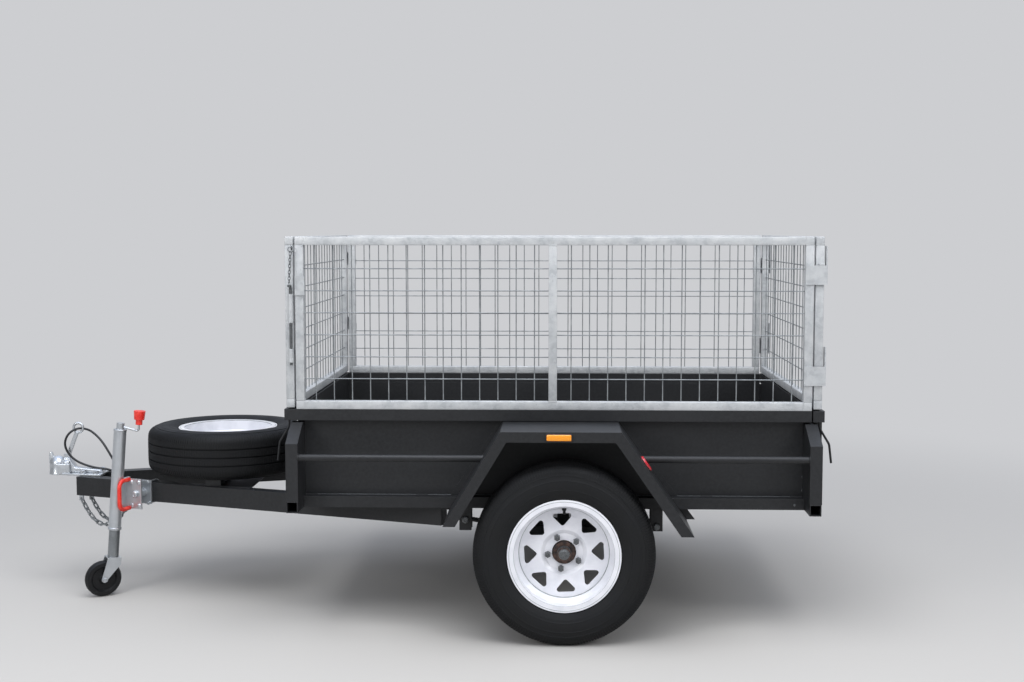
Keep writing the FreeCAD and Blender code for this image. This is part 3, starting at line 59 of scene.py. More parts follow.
# Studio
BACKDROP = "#CDCED1"
FLOOR_NEAR = 1.8
FLOOR_FAR = 5.5
FLAG_EDGE = (0.5, 0.75)
FLAG_SHADE = 0.4
SKY_LIGHT = 0.84

# Edges that turn by less than this are shaded smooth
SMOOTH_BELOW = math.radians(35)

# Wiring cable
CABLE_RADIUS = 0.0045
CABLE_ROUTE = [
    (-1.2149, -0.0669, 0.408), (-1.2048, -0.0386, 0.408), (-1.2115, -0.011, 0.422),
    (-1.2215, 0.003, 0.448), (-1.2425, 0.008, 0.484), (-1.2685, 0.013, 0.526),
    (-1.2925, 0.020, 0.562), (-1.3205, 0.027, 0.592), (-1.3555, 0.026, 0.619),
    (-1.3925, -0.005, 0.627), (-1.4225, -0.027, 0.605), (-1.4375, -0.026, 0.565),
    (-1.4255, -0.021, 0.526), (-1.3945, -0.017, 0.494), (-1.3545, -0.008, 0.474),
    (-1.3135, 0.004, 0.461), (-1.2755, 0.016, 0.456), (-1.2465, 0.021, 0.442),
    (-1.2305, 0.023, 0.418), (-1.2255, 0.023, 0.388),
]

# Tyre, measured from the middle of its tread; its slits are coarser than the real ones, too fine to show
TYRE_RADIUS = 0.316
TYRE_HALF = 0.0925
BEAD_HALF = 0.075
BEAD_RADIUS = 0.1785
RIM_EDGE_RADIUS = 0.197
PITCHES = 192
PITCH_STEPS = 3
GROOVE_SPACING = 0.032
GROOVE_HALF = 0.0032
GROOVE_DEPTH = 0.006
SHOULDER_SLOT_DEPTH = 0.0021
RING_PROUD = 0.0006
SIPE_DEPTH = 0.002
SIPE_INSET = 0.0012

# Tread that is slit: how far out it starts and ends, and the radius that it lies above
SHOULDER_SLOTS = (0.056, 0.0865, 0.2875)
RIB_SIPES = (0.004, 0.053, TYRE_RADIUS - 0.0015)

# Wheel hardware
STUD_CIRCLE = 0.05715
STUD_COUNT = 5
FIRST_STUD = math.radians(115)
DISC_FACE = 0.010
VALVE_OUT = 0.024
VALVE_RADIUS = 0.153
VALVE_LEAN = -0.22
CAP_RADIUS = 0.0245
CAP_LENGTH = 0.027
CAP_SEAT = 0.0004

# Rim, measured from its middle
RIM_HALF = 0.0825
RIM_LIP_RADIUS = 0.1942
RIM_LIP_ROUND = 0.0022
# Seams of the roll, the seat and the disc: how far out, their radius, and their own round
RIM_SEAMS = ((RIM_HALF - 0.0004, 0.1895, 0.0010), (RIM_HALF - 0.0016, 0.1745, 0.0012),
             (0.0212, 0.1570, 0.0017))

# Hex nuts, across their flats and in height
WHEEL_NUT = (0.019, 0.016)
SPARE_NUT = (0.030, 0.015)
CLAMP_NUT = (0.017, 0.009)
EYE_NUT = (0.022, 0.010)
M5_NUT = (0.008, 0.004)
M8_NUT = (0.013, 0.007)
M10_NUT = (0.017, 0.008)
M12_NUT = (0.019, 0.010)
M16_NUT = (0.024, 0.012)

# The stud in every nut: its radius as a share of the nut's width, its top as a share of the nut's height
STUD_SHARE, STUD_RISE = 0.29, 1.21

# Facets round the section of every ring
RING_SIDES = 10

# Cage
CAGE_TUBE = 0.030
TUBE_EDGE = 0.0022
WIRE_RADIUS = 0.00195
WIRE_PITCH = 0.065
WIRE_PITCH_UP = 0.0785
WIRES_UP = 6
GATE_HALF = 0.650
LUG_LOW = 1.306
LUG_WALL = 0.006
LUG_LENGTH = 0.020
LUG_OUT = 0.010
DOOR_HINGE = (-0.37425, 0.669)
DOOR_BARREL = 0.008
DOOR_PIN = 0.0045
DOOR_LEAF_BACK = 0.002
DOOR_BARREL_LOWS = (1.302, 1.012)
DOOR_BARREL_LENGTH = 0.028

# Front gate's bolt
BOLT_PLACE = (-0.3865, -0.659)
BOLT_LOW = 0.950
BOLT_HIGH = 1.233
BOLT_RADIUS = 0.005
BOLT_HANDLE = 0.034
SLEEVE_RADIUS = 0.009
SLEEVE_WELD = 0.016
SLEEVE_SPANS = ((0.960, 1.008), (1.101, 1.203))

# Coupling
SOCKET_X = -1.4725
SOCKET_HOLE = 0.0255
SOCKET_SHOULDER = 0.479
DOME_STEPS = 10
HEAD_RADIUS = 0.0345
HEAD_LIP = 0.036
PLATE_LOW = 0.438
SADDLE_BACK = -1.415
SADDLE_TOP = 0.498
CHEEK_IN, CHEEK_OUT = 0.027, 0.0342
CHEEK_LOW, CHEEK_TOP = 0.441, 0.484
NECK_HALF = 0.022
PLATE_OUTLINE = ((-1.4455, 0.0396), (-1.2795, 0.062))
NECK_OUTLINE = ((-1.4465, 0.4455), (-1.4465, 0.506), (-1.4200, 0.506), (-1.400, 0.468), (-1.296, 0.4580),
                (-1.285, 0.4455))
NOSE_OUTLINE = ((-1.5083, 0.482), (-1.5083, 0.514), (-1.5045, 0.5275), (-1.4965, 0.5275), (-1.491, 0.512),
                (-1.4805, 0.509), (-1.4805, 0.482))
NOSE_HALF = 0.007

# Drawbar's rear ends
DRAWBAR_END = (0.1492, 0.5817, 0.4005)
DRAWBAR_ANGLE = math.radians(19.5)
CAP_PLATE_HALF = Vector((0.0015, 0.0248, 0.0373))

# Welds
STITCH_HALF = 0.0225
STITCH_PLACES = (-0.326, 0.073, 1.095, 1.414)
STITCH_RADIUS = 0.0032
RIPPLE = 0.0035
SEAM_RADIUS = 0.0016

# Springs and axle clamps; the springs' eyes are measured from the floor
FRONT_EYE_HEIGHT = 0.3943
REAR_EYE_HEIGHT = 0.3733
HANGER_HALF = 0.022
HANGER_INNER = 0.5895
CLAMP_ROD_INSET = 0.005
CLAMP_ROD_SPAN = 0.056

# The sheet on the drawbar: where it starts and ends behind the middle of the spare, and its thickness
PLATE_FRONT, PLATE_BACK = -0.03, 0.157
PLATE_SHEET = 0.003

# Height of the spare carrier's stud above its disc
SPARE_STUD = 0.022

# Small bolts at the rear corners, on the right
CORNER_BOLTS = ((1.437, 0.614, 0.501), (1.437, 0.614, 0.551), (1.402, 0.655, 0.456))

# Coupling bolts on their plate, (from the nose, across)
COUPLING_BOLTS = ((0.148, 0.036), (0.203, 0.044))
COUPLING_PLATE_TOP = 0.446
WASHER = 0.002

# Jockey wheel: along its tube from the castor's joint, across its fork from its axle, and on its bracket
# from the pivot
TUBE_FOOT = -0.138
TUBE_HEAD = 0.256
TUBE_RADIUS = 0.024
FORK_FACE = 0.026
PLATE_FACE = 0.029
RAIL_FACE = 0.0853
RAIL_WIDTH = 0.050
RAIL_HALF_HEIGHT = 0.0375
BRACKET_WALL = 0.006
BOSS_ALONG = (-0.014, 0.020)
BOSS_HEIGHT = 0.046
CLAMP_BOLTS = (-0.026, 0.108)
CLAMP_BOLT_RADIUS = 0.004

# Trailer plug: where the cable enters it, and its direction
PLUG_PLACE = CABLE_ROUTE[-1]
PLUG_AXIS = (0.164, 0, -0.986)

# Retaining chain of the front gate's bolt
BOLT_CHAIN_TOP = (-0.3835, -0.668, 1.352)
BOLT_CHAIN_FOOT = (-0.3865, -0.684, 1.243)
BOLT_CHAIN_LINK = 0.011

# Lamps
MARKER_DEPTH = 0.014
MARKER_SCREW = 0.036
TAIL_LAMP_WIDTH = 0.085
TAIL_LAMP_SCREW = 0.033
LAMP_BASE_SHARE = 0.4
LENS_INSET = 0.003
SCREW_HEAD = [(-0.001, 0.0035), (0.0003, 0.0033), (0.0009, 0.002), (0.0010, 0)]

# Round reflectors on the mudguards' rear legs; the place is the right one's
REFLECTOR_RADIUS = 0.030
REFLECTOR_PLACE = (0.8636, 0.800, 0.625)
REFLECTOR_FACING = (1, 0, 0.6966)
REFLECTOR_DEPTH = 0.009


def feed(tree, node, inputs):
    """Set a node's inputs: each takes a value or the output of another node."""
    for socket, source in inputs.items():
        if isinstance(source, bpy.types.NodeSocket):
            tree.links.new(source, node.inputs[socket])
        else:
            node.inputs[socket].default_value = source


def add(tree, kind, inputs=(), **settings):
    """Add a shader node with its settings and its inputs."""
    node = tree.nodes.new("ShaderNode" + kind)
    for name, setting in settings.items():
        setattr(node, name, setting)
    feed(tree, node, dict(inputs))
    return node


def linear(code):
    """An sRGB hex colour as linear RGBA."""
    shares = [int(code[start:start + 2], 16) / 255 for start in (1, 3, 5)]
    levels = [share / 12.92 if share <= 0.04045 else ((share + 0.055) / 1.055) ** 2.4 for share in shares]
    return (*levels, 1)


def finish_named(name):
    """A fresh material: its node tree, its shader and the object's own coordinates."""
    material = bpy.data.materials.new(name)
    material.use_nodes = True
    tree = material.node_tree
    return material, tree, tree.nodes["Principled BSDF"], add(tree, "TexCoord").outputs["Object"]


def noise(tree, where, size, detail):
    """Soft noise in patches of about a size, in metres."""
    return add(tree, "TexNoise", {"Vector": where, "Scale": 1 / size, "Detail": detail}).outputs[0]


def ranged(tree, pattern, low, high, first, second):
    """A value that goes from the first to the second as a pattern goes from low to high."""
    return add(tree, "MapRange", {0: pattern, 1: low, 2: high, 3: first, 4: second}).outputs[0]


def two_tone(tree, pattern, low, high, first, second):
    """A colour that goes from the first to the second, hex or output, as a pattern goes from low to high."""
    tones = [linear(tone) if isinstance(tone, str) else tone for tone in (first, second)]
    share = ranged(tree, pattern, low, high, 0, 1)
    return add(tree, "Mix", {0: share, 6: tones[0], 7: tones[1]}, data_type="RGBA").outputs[2]


def bumps(tree, pattern, strength, depth, **over):
    """The surface's direction over the bumps of a pattern, to a depth in metres."""
    return add(tree, "Bump", {"Height": pattern, "Strength": strength, "Distance": depth, **over}).outputs[0]


def layered(name, tone, layers, looks, grain=None, edge=0):
    """A finish that soft noise turns from its first tone to each layer's in turn.

    A layer is a size in metres, a detail, the span of noise that it turns over, and its tone. Looks are the
    shader's own values; one that follows the first layer is a span and its values at the span's ends. Grain
    is the bumps' size, detail, strength and depth. Edge is the radius that sharp edges are rounded to.
    """
    material, tree, shader, where = finish_named(name)
    first = noise(tree, where, *layers[0][:2])
    for size, detail, low, high, next_tone in layers:
        tone = two_tone(tree, noise(tree, where, size, detail), low, high, tone, next_tone)
    feed(tree, shader, {"Base Color": tone})
    for look, value in looks.items():
        feed(tree, shader, {look: ranged(tree, first, *value) if isinstance(value, tuple) else value})
    over = {"Normal": add(tree, "Bevel", {"Radius": edge}, samples=4).outputs[0]} if edge else {}
    if grain:
        size, detail, strength, depth = grain
        over = {"Normal": bumps(tree, noise(tree, where, size, detail), strength, depth, **over)}
    feed(tree, shader, over)
    return material


def galvanising():
    """Hot dip galvanised tube: dull zinc with spangle crystals and paler clouds where it ran."""
    material, tree, shader, where = finish_named("hot_dip_galvanising")
    crystal = add(tree, "TexVoronoi", {"Vector": where, "Scale": 1 / 0.011, "Randomness": 1})
    facet = add(tree, "SeparateColor", {"Color": crystal.outputs["Color"]}).outputs[0]
    fine = noise(tree, where, 0.004, 3)
    spangle = two_tone(tree, facet, 0, 1, "#AAADB0", "#BABDBF")
    clouds = two_tone(tree, noise(tree, where, 0.06, 6), 0.42, 0.7, spangle, "#C6C8C9")
    feed(tree, shader, {
        "Base Color": two_tone(tree, fine, 0.62, 0.8, clouds, "#94989A"),
        "Roughness": ranged(tree, facet, 0, 1, 0.42, 0.62),
        "Metallic": 0.35,
        "Normal": bumps(tree, fine, 0.3, 0.0004)})
    return material


def drawn_leg():
    """Drawn steel tube with a thin zinc wash: dark, shiny, and ringed by sliding, coarser than real rings."""
    material, tree, shader, where = finish_named("drawn_zinc_tube")
    rings = add(tree, "TexWave", {"Vector": where, "Scale": 0.5 / 0.004, "Distortion": 2},
                bands_direction="Z")
    feed(tree, shader, {
        "Base Color": two_tone(tree, noise(tree, where, 0.03, 4), 0.35, 0.7, "#7F8386", "#9A9EA1"),
        "Roughness": 0.3,
        "Metallic": 0.85,
        "Normal": bumps(tree, rings.outputs["Fac"], 0.08, 0.0002)})
    return material


def moulded_lens(name, deep, bright):
    """A clear acrylic lens whose prism ribs, coarser than real ones, break its colour into bright lines."""
    material, tree, shader, where = finish_named(name)
    ribs = add(tree, "TexWave", {"Vector": where, "Scale": 0.5 / 0.005}, bands_direction="X").outputs["Fac"]
    feed(tree, shader, {
        "Base Color": two_tone(tree, ribs, 0.2, 0.9, deep, bright),
        "Roughness": 0.22,
        "Coat Weight": 0.6,
        "Coat Roughness": 0.05,
        "Normal": bumps(tree, ribs, 0.2, 0.0004)})
    return material


def moulded_plastic(name, dark, pale, rough):
    """Moulded plastic with paler rubbed patches and an even grain, drawn coarser than the real one."""
    return layered(name, dark, [(0.02, 3, 0.4, 0.72, pale)], {"Roughness": rough}, (0.0015, 1, 0.15, 0.0002))


# Satin charcoal powder coat on sheet and tube: fine orange peel, and road dust in broad soft clouds
PAINT = layered("charcoal_powder_coat", "#18191B",
                [(0.28, 5, 0.35, 0.72, "#1F2022"), (0.012, 3, 0.3, 0.75, "#242527")],
                {"Roughness": (0.3, 0.7, 0.4, 0.54), "IOR": 1.42}, (0.0025, 2, 0.25, 0.0003), 0.002)
# Bright zinc plate on pressed and drawn steel: cool grey, smooth, with cloudy passivation
ZINC = layered("zinc_plating", "#B9BDC1", [(0.035, 4, 0.35, 0.7, "#C3C7CB")],
               {"Roughness": (0.3, 0.7, 0.28, 0.34), "Metallic": 0.75}, edge=0.0012)
# Vulcanised tyre rubber: deep grey black, matt, with a bluish bloom of dust on the sidewall
RUBBER = layered("vulcanised_tyre_rubber", "#0D0E0F",
                 [(0.09, 5, 0.35, 0.7, "#141517"), (0.003, 3, 0.55, 0.8, "#1B1C1F")],
                 {"Roughness": (0.3, 0.7, 0.6, 0.78), "IOR": 1.36}, (0.003, 3, 0.3, 0.0004))
# Stoved white enamel on the pressed wheels: smooth and glossy, a little cool, with faint brake dust
ENAMEL = layered("white_wheel_enamel", "#E9EAF0", [(0.05, 5, 0.4, 0.75, "#D9DBE2")],
                 {"Roughness": 0.32, "Coat Weight": 0.3, "Coat Roughness": 0.15}, (0.004, 1, 0.1, 0.0002))
# Moulded solid rubber of the small wheel: blacker and smoother than the tyres, scuffed by grit
CASTOR = layered("moulded_castor_rubber", "#0D0E10", [(0.008, 6, 0.5, 0.75, "#1C1C1D")],
                 {"Roughness": 0.55, "IOR": 1.38}, (0.008, 6, 0.2, 0.0003))
# Cast hubs: brown black scale with light surface rust
CASTING = layered("rusted_hub_casting", "#2C2523", [(0.014, 7, 0.42, 0.66, "#5A443B")],
                  {"Roughness": 0.62, "Metallic": 0.3}, (0.014, 7, 0.5, 0.0006))
# Plain steel nuts that have dulled: dark grey, half metallic, with specks of tarnish
DULL_STEEL = layered("dull_steel_nuts", "#6E7173", [(0.004, 4, 0.4, 0.7, "#4C4D4E")],
                     {"Roughness": 0.42, "Metallic": 0.7}, (0.004, 4, 0.2, 0.0002))
# Galvanised wire of the mesh and the chains: greyer and duller than the tube, with darker drawn streaks
WIRE = layered("galvanised_mesh_wire", "#7C8083", [(0.03, 5, 0.4, 0.7, "#979B9D")],
               {"Roughness": 0.45, "Metallic": 0.4})
# Grey held in the rims' rolled joints: road dust, and a painted shadow darker than the enamel where the gaps
# are shaded
DUST_AND_SHADE_SEAM = layered("dust_and_painted_shade_seam", "#8D9294", [(0.02, 4, 0.35, 0.7, "#AEB3B5")], {"Roughness": 0.6})
GALVANISED = galvanising()
LEG = drawn_leg()
AMBER = moulded_lens("amber_acrylic_lens", "#E57F00", "#FFAE1F")
RED_LENS = moulded_lens("red_acrylic_lens", "#A80F1E", "#E8323F")
RED_GRIP = moulded_plastic("red_vinyl_grip", "#D9291F", "#F04A3C", 0.38)
BLACK_PLASTIC = moulded_plastic("black_nylon", "#17181A", "#27282B", 0.5)
CABLE_SHEATH = moulded_plastic("black_pvc_sheath", "#121316", "#1F2024", 0.4)

FINISHES = {
    GALVANISED: ["cage_side_left", "cage_side_right", "cage_gate_rear", "cage_gate_front", "gate_brackets",
                 "door_hinges"],
    WIRE: ["safety_chains"],
    ZINC: ["chain_lugs", "coupling_body", "coupling_lever", "jockey_tube", "jockey_crank",
           "jockey_fork", "jockey_bracket", "jockey_clamp", "gate_latch"],
    LEG: ["jockey_leg"],
    ENAMEL: ["rim_left", "rim_right", "spare_rim"],
    RUBBER: ["tyre_left", "tyre_right", "spare_tyre"],
    CASTOR: ["jockey_wheel"],
    CASTING: ["hub_left", "hub_right"],
    AMBER: ["side_markers"],
    RED_LENS: ["side_reflectors", "tail_lamps"],
    RED_GRIP: ["jockey_knob", "jockey_handle"],
    BLACK_PLASTIC: ["trailer_plug", "cable_gland"],
    CABLE_SHEATH: ["wiring_cable"],
}


def dress_nodes():
    """Give every carried over node its finish; what no other list names is painted."""
    finish_of = {name: material for material, names in FINISHES.items() for name in names}
    for name, node in frame["nodes"].items():
        node.data.materials.clear()
        node.data.materials.append(finish_of.get(name, PAINT))


def dress(piece, body, material):
    """Finish a new piece: shaded, painted, at the origin and riding on its body."""
    bpy.ops.object.select_all(action="DESELECT")
    piece.select_set(True)
    bpy.context.view_layer.objects.active = piece
    bpy.ops.object.transform_apply(location=True, rotation=True, scale=True)
    bpy.ops.object.shade_smooth_by_angle(angle=SMOOTH_BELOW)
    piece.data.materials.clear()
    piece.data.materials.append(material)
    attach(piece, body)
    return piece


def drawn(name, points):
    """Start a piece as a line of edges: a plane merged to one corner, extruded from point to point."""
    bpy.ops.mesh.primitive_plane_add(size=0.01)
    piece = bpy.context.object
    piece.name = name
    bpy.ops.object.mode_set(mode="EDIT")
    bpy.ops.mesh.merge(type="CENTER")
    bpy.ops.transform.translate(value=points[0])
    for before, after in zip(points, points[1:]):
        bpy.ops.mesh.extrude_region_move(TRANSFORM_OT_translate={"value": after - before})
    bpy.ops.mesh.select_all(action="SELECT")
    return piece


def select_faces(piece, wanted):
    """In edit mode, select the faces whose middle and normal pass a test."""
    bpy.ops.mesh.select_mode(type="FACE")
    bpy.ops.mesh.select_all(action="DESELECT")
    mesh = bmesh.from_edit_mesh(piece.data)
    for face in mesh.faces:
        if wanted(face.calc_center_median(), face.normal):
            face.select = True
    bmesh.update_edit_mesh(piece.data)


def close_up():
    """In edit mode, merge doubled corners and turn all faces outwards."""
    bpy.ops.mesh.select_mode(type="VERT")
    bpy.ops.mesh.select_all(action="SELECT")
    bpy.ops.mesh.remove_doubles(threshold=0.00005)
    bpy.ops.mesh.normals_make_consistent(inside=False)
    bpy.ops.object.mode_set(mode="OBJECT")


def turned(name, outline, steps, at=Matrix()):
    """A closed piece spun from an outline of (along, radius) corners about the Z axis, then moved."""
    (start, first), (end, last) = outline[0], outline[-1]
    closed = outline + [outline[0]] if first and last else [(start, 0)] + outline + [(end, 0)]
    piece = drawn(name, [Vector((radius, 0, along)) for along, radius in closed])
    bpy.ops.mesh.spin(steps=steps, angle=math.tau, center=(0, 0, 0), axis=(0, 0, 1))
    close_up()
    piece.data.transform(at)
    return piece


def sleeve(name, foot, head, bore, radius, chamfer, place):
    """An upright round sleeve with both ends chamfered outside."""
    outline = [(foot, bore), (foot, radius - chamfer), (foot + chamfer, radius), (head - chamfer, radius),
               (head, radius - chamfer), (head, bore)]
    return turned(name, outline, 32, Matrix.Translation(place))


def arc(start, through, end, steps):
    """Points on the circle through three (x, y) points, from the first to the last."""
    a, b, c = (complex(*point) for point in (start, through, end))
    lean = (c - a) / (b - a)
    middle = a + (b - a) * (lean - abs(lean) ** 2) / (2j * lean.imag)
    sweep = cmath.phase((b - middle) / (a - middle)) + cmath.phase((c - middle) / (b - middle))
    points = [middle + (a - middle) * cmath.rect(1, sweep * step / steps) for step in range(steps + 1)]
    return [(point.real, point.imag) for point in points]


def copy_to(piece, name, matrix):
    """A copy with its own mesh, moved by a matrix."""
    other = piece.copy()
    other.data = piece.data.copy()
    other.name = name
    bpy.context.collection.objects.link(other)
    other.data.transform(matrix)
    return other


def joined(name, items):
    """Several meshes joined into one piece."""
    bpy.ops.object.select_all(action="DESELECT")
    for item in items:
        item.select_set(True)
    bpy.context.view_layer.objects.active = items[0]
    bpy.ops.object.join()
    items[0].name = name
    return items[0]


def scattered(name, model, matrices):
    """One piece of many copies of a model, which is used up."""
    copies = [copy_to(model, name, matrix) for matrix in matrices]
    bpy.data.objects.remove(model)
    return joined(name, copies)


def facing(place, direction):
    """A matrix that stands a +Z model at a place, pointing in a direction."""
    turn = Vector(direction).to_track_quat("Z", "Y").to_matrix().to_4x4()
    return Matrix.Translation(place) @ turn


def moulded_ring(place):
    """A fine raised ring on a sidewall, as (out, radius) corners."""
    out, radius = place
    steps = ((0, -0.0014), (RING_PROUD, -0.0006), (RING_PROUD, 0.0006), (0, 0.0014))
    return [(out + proud, radius + along) for proud, along in steps]


def tyre_outline():
    """Half of a tyre's outline, (out, radius): bead, sidewall arc, shoulder arc, ribs and grooves."""
    bead = [(BEAD_HALF, BEAD_RADIUS), (BEAD_HALF, RIM_EDGE_RADIUS), (0.0795, 0.1985), (0.0835, 0.2035),
            (0.0858, 0.2115), (0.0866, 0.2125)]
    wall = arc((0.0880, 0.2165), (TYRE_HALF, 0.2480), (0.0896, 0.2780), 8)
    sidewall = [(0.0872, 0.2155)] + wall[:2] + moulded_ring(wall[2]) + wall[3:6] + moulded_ring(wall[6])
    sidewall += wall[7:] + [(0.0904, 0.2788), (0.0898, 0.2812), (0.0876, 0.2820), (0.0870, 0.2836)]
    shoulder = arc((0.0862, 0.2872), (0.0775, 0.3045), (0.0530, 0.3150), 6)
    ribs = []
    for groove in (GROOVE_SPACING, 0):
        floor = TYRE_RADIUS - GROOVE_DEPTH
        ribs += [(groove + GROOVE_HALF, TYRE_RADIUS), (groove + GROOVE_HALF * 0.7, floor)]
        if groove:
            ribs += [(groove - GROOVE_HALF * 0.7, floor), (groove - GROOVE_HALF, TYRE_RADIUS)]
            ribs += [(groove / 2, TYRE_RADIUS)]
    return bead + sidewall + shoulder + ribs


def tyre_model():
    """A road tyre about the Y axis: one pitch of its tread is spun and cut, then repeated round."""
    half = tyre_outline()
    outline = half + [(-out, radius) for out, radius in reversed(half)]
    pitch = math.tau / PITCHES
    step = pitch / PITCH_STEPS
    piece = drawn("tyre_pitch", [Vector((0, out, radius)) for out, radius in outline + outline[:1]])
    bpy.ops.mesh.spin(steps=PITCH_STEPS, angle=pitch, center=(0, 0, 0), axis=(0, 1, 0))

    def tread_between(middle, number, inner, outer, lowest):
        turned_by = abs(math.atan2(middle.x, middle.z))
        on_step = number < turned_by / step < number + 1
        return on_step and inner < abs(middle.y) < outer and middle.xz.length > lowest

    select_faces(piece, lambda middle, normal: tread_between(middle, 1, *SHOULDER_SLOTS))
    bpy.ops.mesh.extrude_region_shrink_fatten(TRANSFORM_OT_shrink_fatten={"value": SHOULDER_SLOT_DEPTH})
    select_faces(piece, lambda middle, normal: tread_between(middle, 2, *RIB_SIPES))
    bpy.ops.mesh.inset(thickness=SIPE_INSET)
    bpy.ops.mesh.extrude_region_shrink_fatten(TRANSFORM_OT_shrink_fatten={"value": SIPE_DEPTH})
    bpy.ops.object.mode_set(mode="OBJECT")
    turns = [Matrix.Rotation(pitch * number, 4, "Y") for number in range(PITCHES)]
    tyre = scattered("tyre", piece, turns)
    bpy.ops.object.mode_set(mode="EDIT")
    close_up()
    return tyre


def middle_of(node):
    """The middle of a node's box."""
    low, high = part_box(node)
    return (low + high) / 2


def tyres():
    """Treaded tyres in place of the plain ones."""
    model = tyre_model()
    lying = Matrix.Rotation(math.pi / 2, 4, "X")
    for node, body, turn in (("tyre_left", "wheel_left", Matrix()), ("tyre_right", "wheel_right", Matrix()),
                             ("spare_tyre", "frame", lying)):
        piece = copy_to(model, node + "_treaded", Matrix.Translation(middle_of(node)) @ turn)
        dress(piece, body, RUBBER)
        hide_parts(node)
    bpy.data.objects.remove(model)


def hex_nut(name, across, height):
    """A chamfered hex nut on the XY plane pointing up, with its stud's end standing in it."""
    bpy.ops.mesh.primitive_cylinder_add(vertices=6, radius=across / math.sqrt(3), depth=height,
                                        location=(0, 0, height / 2))
    nut = bpy.context.object
    bpy.ops.object.transform_apply(location=True)
    bpy.ops.object.mode_set(mode="EDIT")
    select_faces(nut, lambda middle, normal: normal.z > 0.9)
    bpy.ops.mesh.inset(thickness=across * 0.1)
    bpy.ops.transform.translate(value=(0, 0, across * 0.06))
    bpy.ops.mesh.inset(thickness=across * 0.12)
    bpy.ops.mesh.extrude_region_move(TRANSFORM_OT_translate={"value": (0, 0, -across * 0.08)})
    bpy.ops.object.mode_set(mode="OBJECT")
    thick, top = across * STUD_SHARE, height * STUD_RISE
    end = turned(name + "_stud", [
        (height * 0.5, thick), (top - thick * 0.3, thick), (top, thick * 0.7), (top, 0)], 16)
    return joined(name, [nut, end])


def wheel_hardware():
    """Five nuts, a rubber valve and a pressed dust cap on each road wheel."""
    angles = [FIRST_STUD + math.tau * number / STUD_COUNT for number in range(STUD_COUNT)]
    for side, word in ((-1, "left"), (1, "right")):
        body, centre, outward = f"wheel_{word}", middle_of(f"rim_{word}"), (0, side, 0)
        studs = [(centre + Vector((STUD_CIRCLE * math.cos(angle), side * DISC_FACE,
                                   STUD_CIRCLE * math.sin(angle))), outward) for angle in angles]
        nuts(f"wheel_nuts_{word}", body, DULL_STEEL, WHEEL_NUT, studs)
        seat = centre + Vector((0, side * VALVE_OUT, VALVE_RADIUS))
        stem = turned(f"valve_{word}", [
            (0, 0.0078), (0.004, 0.0072), (0.009, 0.005), (0.024, 0.0046), (0.0245, 0.0052),
            (0.034, 0.0052), (0.036, 0.004), (0.036, 0)], 20, facing(seat, (0, side, VALVE_LEAN)))
        dress(stem, body, CASTOR)
        low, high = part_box(f"hub_{word}")
        end = high.y if side > 0 else low.y
        cap = turned(f"dust_cap_{word}", [
            (0, CAP_RADIUS - 0.001), (0, CAP_RADIUS + 0.001), (0.003, CAP_RADIUS),
            (CAP_LENGTH - 0.005, CAP_RADIUS), (CAP_LENGTH - 0.0015, CAP_RADIUS - 0.0025),
            (CAP_LENGTH, CAP_RADIUS - 0.006), (CAP_LENGTH, CAP_RADIUS - 0.010),
            (CAP_LENGTH + 0.0015, CAP_RADIUS - 0.012), (CAP_LENGTH + 0.0015, 0)], 48,
            facing((centre.x, end - side * (CAP_LENGTH - CAP_SEAT), centre.z), outward))
        dress(cap, body, DULL_STEEL)


def slab(name, corners, reach, edge):
    """A flat piece: an outline of corners filled and pushed out, with rounded edges."""
    piece = drawn(name, [Vector(corner) for corner in corners])
    bpy.ops.mesh.edge_face_add()
    bpy.ops.mesh.extrude_region_move(TRANSFORM_OT_translate={"value": reach})
    bpy.ops.mesh.select_all(action="SELECT")
    bpy.ops.mesh.bevel(offset=edge, segments=3)
    close_up()
    return piece


def boxed(name, corner, opposite, edge, segments=3):
    """A block between two opposite corners, with rounded edges."""
    low, high = [Vector([pick(pair) for pair in zip(corner, opposite)]) for pick in (min, max)]
    bpy.ops.mesh.primitive_cube_add(size=1, location=(low + high) / 2, scale=high - low)
    piece = bpy.context.object
    piece.name = name
    bpy.ops.object.transform_apply(location=True, rotation=True, scale=True)
    bpy.ops.object.mode_set(mode="EDIT")
    bpy.ops.mesh.select_all(action="SELECT")
    bpy.ops.mesh.bevel(offset=edge, segments=segments)
    bpy.ops.object.mode_set(mode="OBJECT")
    return piece


def bar(name, start, end, radius):
    """A straight round bar between two points."""
    run = Vector(end) - Vector(start)
    return turned(name, [(0, 0), (0, radius), (run.length, radius), (run.length, 0)], 10, facing(start, run))


def ring(name, place, direction, radius, thickness, steps=96):
    """A round ring about a direction."""
    turns = [math.tau * step / RING_SIDES for step in range(RING_SIDES + 1)]
    circle = [(thickness * math.sin(turn), radius + thickness * math.cos(turn)) for turn in turns]
    return turned(name, circle, steps, facing(place, direction))


def frame_of_tube(name, low, high, posts):
    """Square tubes round a panel, their edges rounded: two rails right along, and posts between them."""
    flat = 0 if high.x - low.x > high.y - low.y else 1
    tubes = [boxed(name, (*low.xy, foot), (*high.xy, foot + CAGE_TUBE), TUBE_EDGE)
             for foot in (low.z, high.z - CAGE_TUBE)]
    for middle in posts:
        near, far = low.copy(), high.copy()
        near.z, far.z = low.z + CAGE_TUBE, high.z - CAGE_TUBE
        near[flat], far[flat] = middle - CAGE_TUBE / 2, middle + CAGE_TUBE / 2
        tubes.append(boxed(name, near, far, TUBE_EDGE))
    return tubes


